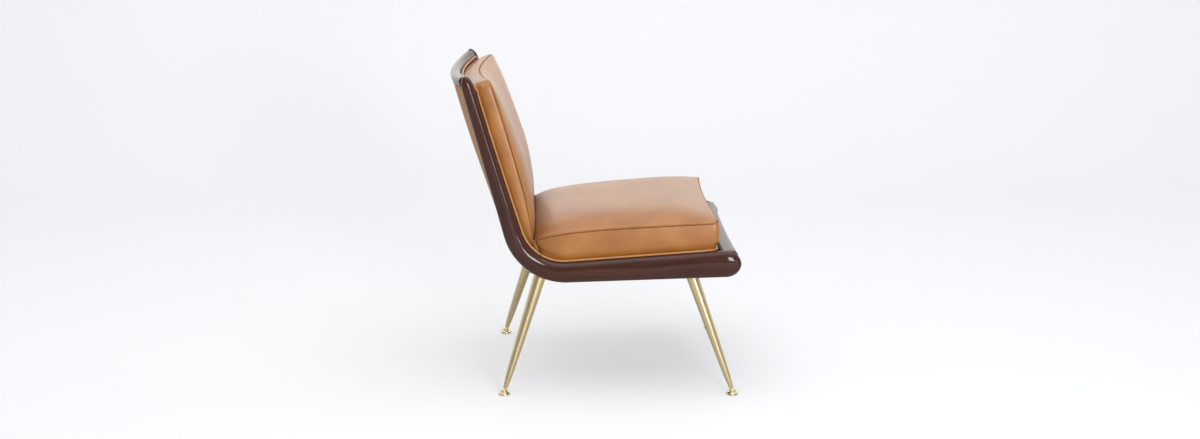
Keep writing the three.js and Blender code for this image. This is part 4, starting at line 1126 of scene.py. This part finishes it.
# %% The outside leather and its bead
OUTSIDE_FOOT = math.radians(58)  # the angle in the bend at which the sheet ends
OUTSIDE_ROWS, OUTSIDE_COLUMNS = 120, 90
OUTSIDE_HALF_WIDTH = 235.0
INNER_FACE, OUTER_FACE = 4.5, 2.0  # depths from the post's rear edge
DRAWN_IN, DRAWN_LENGTH = 1.6, 5.0
BEAD, BEAD_DROP, BEAD_PART = 1.5, 0.4, 0.3  # radius, way under the crest, part of it sunk


def outside_back():
    """Rings round the sheet: depth = face + 1.6 exp(-rim / 5) outside, less the bow."""
    run = np.linspace(0, 1, OUTSIDE_ROWS + 1)[:, None]
    share = np.linspace(-1, 1, OUTSIDE_COLUMNS + 1)[None]
    straight = CREST_FOOT - GAP - REACH
    arc = BEND_RADIUS * (TURN - OUTSIDE_FOOT)
    at = run * (straight + arc)
    up = np.maximum(CREST_FOOT - GAP - at, REACH)
    part = np.clip((at - straight) / arc, 0, 1)
    flat = at <= straight
    bow = np.where(flat, bow_at(share, up), bow_at(share, REACH) * (1 - part) ** 2)
    rim = np.minimum(np.minimum(at, straight + arc - at), (1 - np.abs(share)) * OUTSIDE_HALF_WIDTH)
    faces = []
    for face, drawn_in in ((OUTER_FACE, DRAWN_IN), (INNER_FACE, 0.0)):
        depth = face + drawn_in * np.exp(-rim / DRAWN_LENGTH) - bow
        back = back_point(up, depth)
        bend = bend_point(lerp(TURN, OUTSIDE_FOOT, part), depth)
        faces.append(between_frames(share, *(np.where(flat, back[k], bend[k]) for k in (0, 1))))
    return loft("outside_back_leather", np.concatenate([faces[0], faces[1][:, ::-1]], 1))


def outside_bead():
    """A tube that follows the bow just under the crest."""
    share = np.linspace(-0.985, 0.985, 91)
    up = CREST_FOOT - GAP - BEAD - BEAD_DROP
    depth = OUTER_FACE + BEAD_PART * BEAD - bow_at(share, up)
    return tube("outside_bead", between_frames(share, *back_point(up, depth), inset=0), BEAD)


place_piece(outside_back(), OUTSIDE, nodes=["outside_back"])
place_piece(outside_bead(), OUTSIDE)

# %% [markdown]
# ## Legs and feet
# Each leg is a long turned cone whose sides curve a little, and it leans outwards and forwards
# or backwards. A cone primitive would have straight sides and sharp rims. A profile of radius
# by height is turned instead, and a matrix leans it. A foot is a turned disc with a cup that
# swivels on the ball in the leg's toe, so it rides on a body of its own.

# %% The lean of a leg
def leg_matrix(end, side):
    """Axes across, ahead and up the leg, moved to the ball, flared, and mirrored to its side."""
    length, inset, lead = LEGS[end]
    run = LEG_INSET - inset
    up = np.array([run, lead, math.sqrt(length**2 - run**2 - lead**2)]) / length
    across = np.cross([0, 1, 0], up)
    across /= np.linalg.norm(across)
    local = np.eye(4)
    local[:3, :3] = np.stack([across, np.cross(up, across), up], -1)
    ball_y = (FOOT_Y[end] + inset * math.sin(FLARE)) / math.cos(FLARE)
    local[:3, 3] = [inset, ball_y, BALL_HEIGHT]
    flared = np.eye(4)
    flared[:2, :2] = [[math.cos(FLARE), math.sin(FLARE)], [-math.sin(FLARE), math.cos(FLARE)]]
    flared[0, 3] = -MID_HALF_WIDTH
    return np.diag([-side, 1, 1, 1]) @ flared @ local


print("the right front leg stands at", np.round(leg_matrix("front", -1.0)[:3, 3], 1))

# %% Profiles of the legs, feet and balls
NECK = 3.4  # the radius of the stud in a leg's toe
TOE = 8.0  # the height of a leg's toe over the ball's middle
LEG_RADII = (5.5, 8.1, 10.2, 15.0)  # at the toe, at 42 and 110 mm up, and at the top
CUP, BALL = 6.3, 6.0


def leg_profile(end):
    """Down the bore, round the toe, straight from radius to radius, and over the shoulder."""
    top = LEGS[end][0] - 3.6
    h = np.linspace(TOE + 0.6, top - 0.8, 90)
    body = np.stack([np.interp(h, [TOE, 42, 110, top], LEG_RADII), h], -1)
    bore = NECK + GAP
    return np.concatenate([
        [[bore, TOE + 25.0], [bore, TOE], [5.1, TOE], [5.4, TOE + 0.2]], body,
        [[14.7, top - 0.3], [14.2, top], [4.3, top]]])


def foot_profile():
    """A flat disc with a rounded rim, a dome r = 14 to 8.6, a collar and the cup's sphere."""
    t = np.linspace(math.acos(3.0 / CUP), math.pi * 0.98, 18)
    inside = np.stack([CUP * np.sin(t), BALL_HEIGHT + CUP * np.cos(t)], -1)
    dome = np.linspace(0, math.pi / 2, 12)
    top = np.stack([lerp(14.0, 8.6, 1 - np.cos(dome)), 3.6 + 2.9 * np.sin(dome)], -1)
    rim = [[13.5, 0.0], [14.1, 0.25], [14.4, 0.7], [14.5, 1.4], [14.5, 2.4], [14.35, 3.1]]
    collar = [[8.2, 7.4], [8.1, 9.0], [8.1, 10.9], [7.8, 11.7], [6.9, 12.0]]
    return np.concatenate([rim, top, collar, inside])


def ball_profile():
    """A sphere with a neck and a stud above it."""
    t = np.linspace(math.pi * 0.99, math.asin(2.9 / BALL), 18)
    sphere = np.stack([BALL * np.sin(t), BALL * np.cos(t)], -1)
    return np.concatenate([sphere, [[2.9, 7.9], [NECK, 8.1], [NECK, 31.6], [3.0, 32.0]]])


print("a leg is", 2 * leg_profile("front")[:, 0].max(), "mm thick at its top")

# %% Four legs, balls and feet
for label, side in SIDES.items():
    for end in ENDS:
        leaning = leg_matrix(end, side)
        upright = np.eye(4)
        upright[:2, 3] = leaning[:2, 3]
        tag = f"{end}_{label}"
        leg = turned(f"brass_leg_{tag}", leg_profile(end), leaning, 72)
        place_piece(leg, BRASS, nodes=[f"leg_{tag}"])
        ball = turned(f"ball_{tag}", ball_profile(), leaning)
        place_piece(ball, POLISHED, nodes=[f"ball_stud_{tag}"])
        foot = turned(f"foot_{tag}", foot_profile(), upright, 72)
        place_piece(foot, POLISHED, body=f"glide_{tag}", nodes=[f"glide_{tag}"])

# %% [markdown]
# ## Under the seat
# A thin black lining is tacked under the seat and cut away round the corner blocks. It could be
# a cloth simulation, but it is stretched nearly flat, so a slight sag by formula is enough. The
# quads over the blocks are left out of the grid.

# %% The lining
DECK_THICKNESS, DECK_REAR = 9.0, 60.0
LINING_STEPS, LINING_SAG, LINING_THICKNESS = 96, 5.0, 0.8
BLOCK_CLEARANCE = 4.0


def lining():
    """Two faces of a sheet that sags by 5 (1 - s^4) sin(pi t)^0.6."""
    high = DECK_TOP - DECK_THICKNESS - GAP - 0.3
    front = RAIL_LENGTH - FRONT_SETBACK - FRONT_DEPTH - FRONT_BOW - GAP
    n = LINING_STEPS
    ahead = np.linspace(DECK_REAR, front, n + 1)[:, None]
    share = np.linspace(-1, 1, n + 1)[None]
    t = np.clip((ahead - DECK_REAR) / (front - DECK_REAR), 0, 1)
    sag = LINING_SAG * (1 - share**4) * np.sin(t * math.pi) ** 0.6
    sheet = between_frames(share, *rail_point(ahead, high - sag))
    kept = np.ones((n, n), bool)
    middle = ((sheet[1:, 1:] + sheet[:-1, :-1]) / 2)[..., :2]
    for tag in (f"{end}_{label}" for label in SIDES for end in ENDS):
        low, top = (np.array(v)[:2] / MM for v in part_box(f"corner_block_{tag}"))
        past_low, short_of_top = middle > low - BLOCK_CLEARANCE, middle < top + BLOCK_CLEARANCE
        kept &= ~np.all(past_low & short_of_top, -1)
    i, j = np.nonzero(kept)
    corner = i * (n + 1) + j
    quads = np.stack([corner, corner + n + 1, corner + n + 2, corner + 1], -1)
    lower = sheet - np.array([0, 0, LINING_THICKNESS])
    points = np.concatenate([sheet.reshape(-1, 3), lower.reshape(-1, 3)])
    used, index = np.unique(
        np.concatenate([quads[:, ::-1], quads + (n + 1) ** 2]), return_inverse=True)
    return make("seat_lining", points[used], index.reshape(-1, 4))


cloth = place_piece(lining(), LINING, nodes=["dust_cover"])
flat_width, flat_length = np.ptp(vertex_array(cloth.data), axis=0)[:2].tolist()
print(f"the lining is cut {flat_width:.3f} by {flat_length:.3f} m")

# %% [markdown]
# ## Pieces that keep their CAD shapes
# The tenons, blocks, plates, screws, the back's panel and the seat's deck have the right shape
# already, and remaking them would add nothing that is seen. Each gets a finish in the slots of
# its object, chosen by the words in its name.

# %% Finishes for the hidden pieces
HIDDEN = (
    (BEECH, ("corner_block", "tenon", "rear_seat_rail", "lower_back_rail")),
    (PLY, ("back_panel", "seat_deck")),
    (STEEL, ("plate", "stud", "screw")))
for finish, words in HIDDEN:
    chosen = [
        node for name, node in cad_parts.items()
        if node.type == "MESH" and any(word in name for word in words)]
    for node in chosen:
        for slot in node.material_slots:
            slot.material = finish
    print(finish.name, "on", len(chosen), "pieces")

# %% [markdown]
# ## Floor
# A photographer's sweep is a floor that turns up into a wall without a line. A plane and a
# white background would do, but metal and lacquer would mirror the edge between them. The
# sweep's colour is pale, a little light of its own keeps it near white for the camera and
# in reflections, and it still takes the chair's shadow.

# %% The sweep and its finish
SWEEP_RADIUS, SWEEP_START, SWEEP_FAR = 1200.0, 1900.0, 9000.0
FLOOR_GLOW = 0.36  # as the camera sees it
FLOOR_SHEEN, WALL_SHEEN, SHEEN_HEIGHT = 0.05, 0.68, 0.9  # as it is mirrored, low and high up
COOL_WHITE, WARM_WHITE = (0.97, 0.98, 1.0), (1.0, 0.97, 0.88)


def sweep():
    """Flat along X, then a quarter circle of radius R, then upright."""
    t = np.linspace(0, math.pi / 2, 24)
    end = SWEEP_START + SWEEP_RADIUS
    x = np.concatenate([[-SWEEP_FAR, -3000, 0], SWEEP_START + SWEEP_RADIUS * np.sin(t), [end]])
    z = np.concatenate([[0, 0, 0], SWEEP_RADIUS * (1 - np.cos(t)), [SWEEP_FAR]])
    y = np.array([-SWEEP_FAR, SWEEP_FAR])
    points = np.stack(np.broadcast_arrays(x[:, None], y[None], z[:, None]), -1).reshape(-1, 3)
    k = 2 * np.arange(len(x) - 1)
    quads = np.stack([k + 2, k + 3, k + 1, k], -1)
    mesh = bpy.data.meshes.new("sweep")
    mesh.from_pydata((points * MM).tolist(), [], quads.tolist())
    mesh.shade_smooth()
    obj = bpy.data.objects.new("sweep", mesh)
    bpy.context.scene.collection.objects.link(obj)
    return obj


def pale_floor():
    """Glow = 0.36 for the camera, and for mirrors a sheen that grows with the height."""
    n = Finish("pale_floor")
    height = n.add("ShaderNodeSeparateXYZ", {0: n.object_place()}).outputs["Z"]
    sheen = n.between(height, FLOOR_SHEEN, WALL_SHEEN, SHEEN_HEIGHT)
    ray = n.add("ShaderNodeLightPath").outputs
    mirrored = n.math("MAXIMUM", ray["Is Glossy Ray"], ray["Is Transmission Ray"])
    mirrored = n.math("MULTIPLY", mirrored, sheen)
    return n.finish(
        Base_Color=(0.76, 0.765, 0.78, 1), Roughness=0.6, Specular_IOR_Level=0.2,
        Emission_Color=n.mix(ray["Is Camera Ray"], WARM_WHITE, COOL_WHITE),
        Emission_Strength=n.math("MULTIPLY_ADD", ray["Is Camera Ray"], FLOOR_GLOW, mirrored))


floor = sweep()
floor.data.materials.append(pale_floor())
print("the floor has", len(floor.data.polygons), "faces")

# %% [markdown]
# ## Light
# Soft light comes from above and from the right front of the chair. Point lamps would give
# hard shadows and dots in the lacquer, so all three lamps are lit rectangles. The one like a
# window is seen as the highlight in the bend, and the one like a gap between curtains as the
# line down the post.

# %% Three soft boxes
def soft_box(name, place, target, size, watts):
    """A lit rectangle that faces its target."""
    light = bpy.data.lights.new(name, "AREA")
    light.shape = "RECTANGLE"
    light.size, light.size_y = size
    light.energy = watts
    obj = bpy.data.objects.new(name, light)
    bpy.context.scene.collection.objects.link(obj)
    facing = (Vector(target) - Vector(place)).to_track_quat("-Z", "Y").to_matrix().to_4x4()
    obj.matrix_world = Matrix.Translation(place) @ facing
    print(name, "of", size, "m,", watts, "W")


soft_box("window", (-4.19, -1.02, 1.38), (-0.28, 0.15, 0.45), (0.95, 1.45), 68)
soft_box("curtain_gap", (-3.8, -2.14, 0.72), (-0.28, 0.15, 0.7), (0.16, 0.6), 9)
soft_box("overhead", (-0.6, 0.0, 3.3), (0, 0, 0.4), (3.4, 3.4), 34)

# %% [markdown]
# ## Room
# Lacquer and brass show the room round them. A photograph of a room could light the scene, but
# a formula is enough: reflections find a white room that is bright above and beyond the chair
# and dim behind the camera, and all other light from it is even.

# %% The white room
ROOM_DIM, ROOM_SHEEN, ROOM_LIGHT = 0.28, 1.15, 0.52
ROOM_WHITE = (0.99, 0.985, 1.0, 1)
# The direction's part on an axis, where brightness starts and ends, and its least value
BRIGHT_BEYOND, BRIGHT_ABOVE = ("X", -0.6, 0.8, ROOM_DIM), ("Z", 0.25, 0.8, 0.0)


def room_world():
    """Strength = 0.52, or in mirrors 1.15 times the greater of two soft steps."""
    world = bpy.data.worlds.new("white_room")
    world.use_nodes = True
    tree = world.node_tree
    direction = add_node(tree, "ShaderNodeTexCoord").outputs["Generated"]
    parts = add_node(tree, "ShaderNodeSeparateXYZ", {0: direction}).outputs
    steps = [
        add_node(tree, "ShaderNodeMapRange", {
            "Value": parts[axis], "From Min": low, "From Max": high, "To Min": dim},
            interpolation_type="SMOOTHSTEP").outputs[0]
        for axis, low, high, dim in (BRIGHT_BEYOND, BRIGHT_ABOVE)]
    seen = add_node(tree, "ShaderNodeMath", dict(enumerate(steps)), operation="MAXIMUM").outputs[0]
    seen = add_node(
        tree, "ShaderNodeMath", {0: seen, 1: ROOM_SHEEN}, operation="MULTIPLY").outputs[0]
    mirrored = add_node(tree, "ShaderNodeLightPath").outputs["Is Glossy Ray"]
    strength = add_node(tree, "ShaderNodeMapRange", {
        "Value": mirrored, "To Min": ROOM_LIGHT, "To Max": seen}).outputs[0]
    sky = tree.nodes["Background"]
    sky.inputs["Color"].default_value = ROOM_WHITE
    tree.links.new(strength, sky.inputs["Strength"])
    return world


bpy.context.scene.world = room_world()
bpy.context.scene.view_settings.view_transform = "Standard"
print("room light", ROOM_LIGHT)
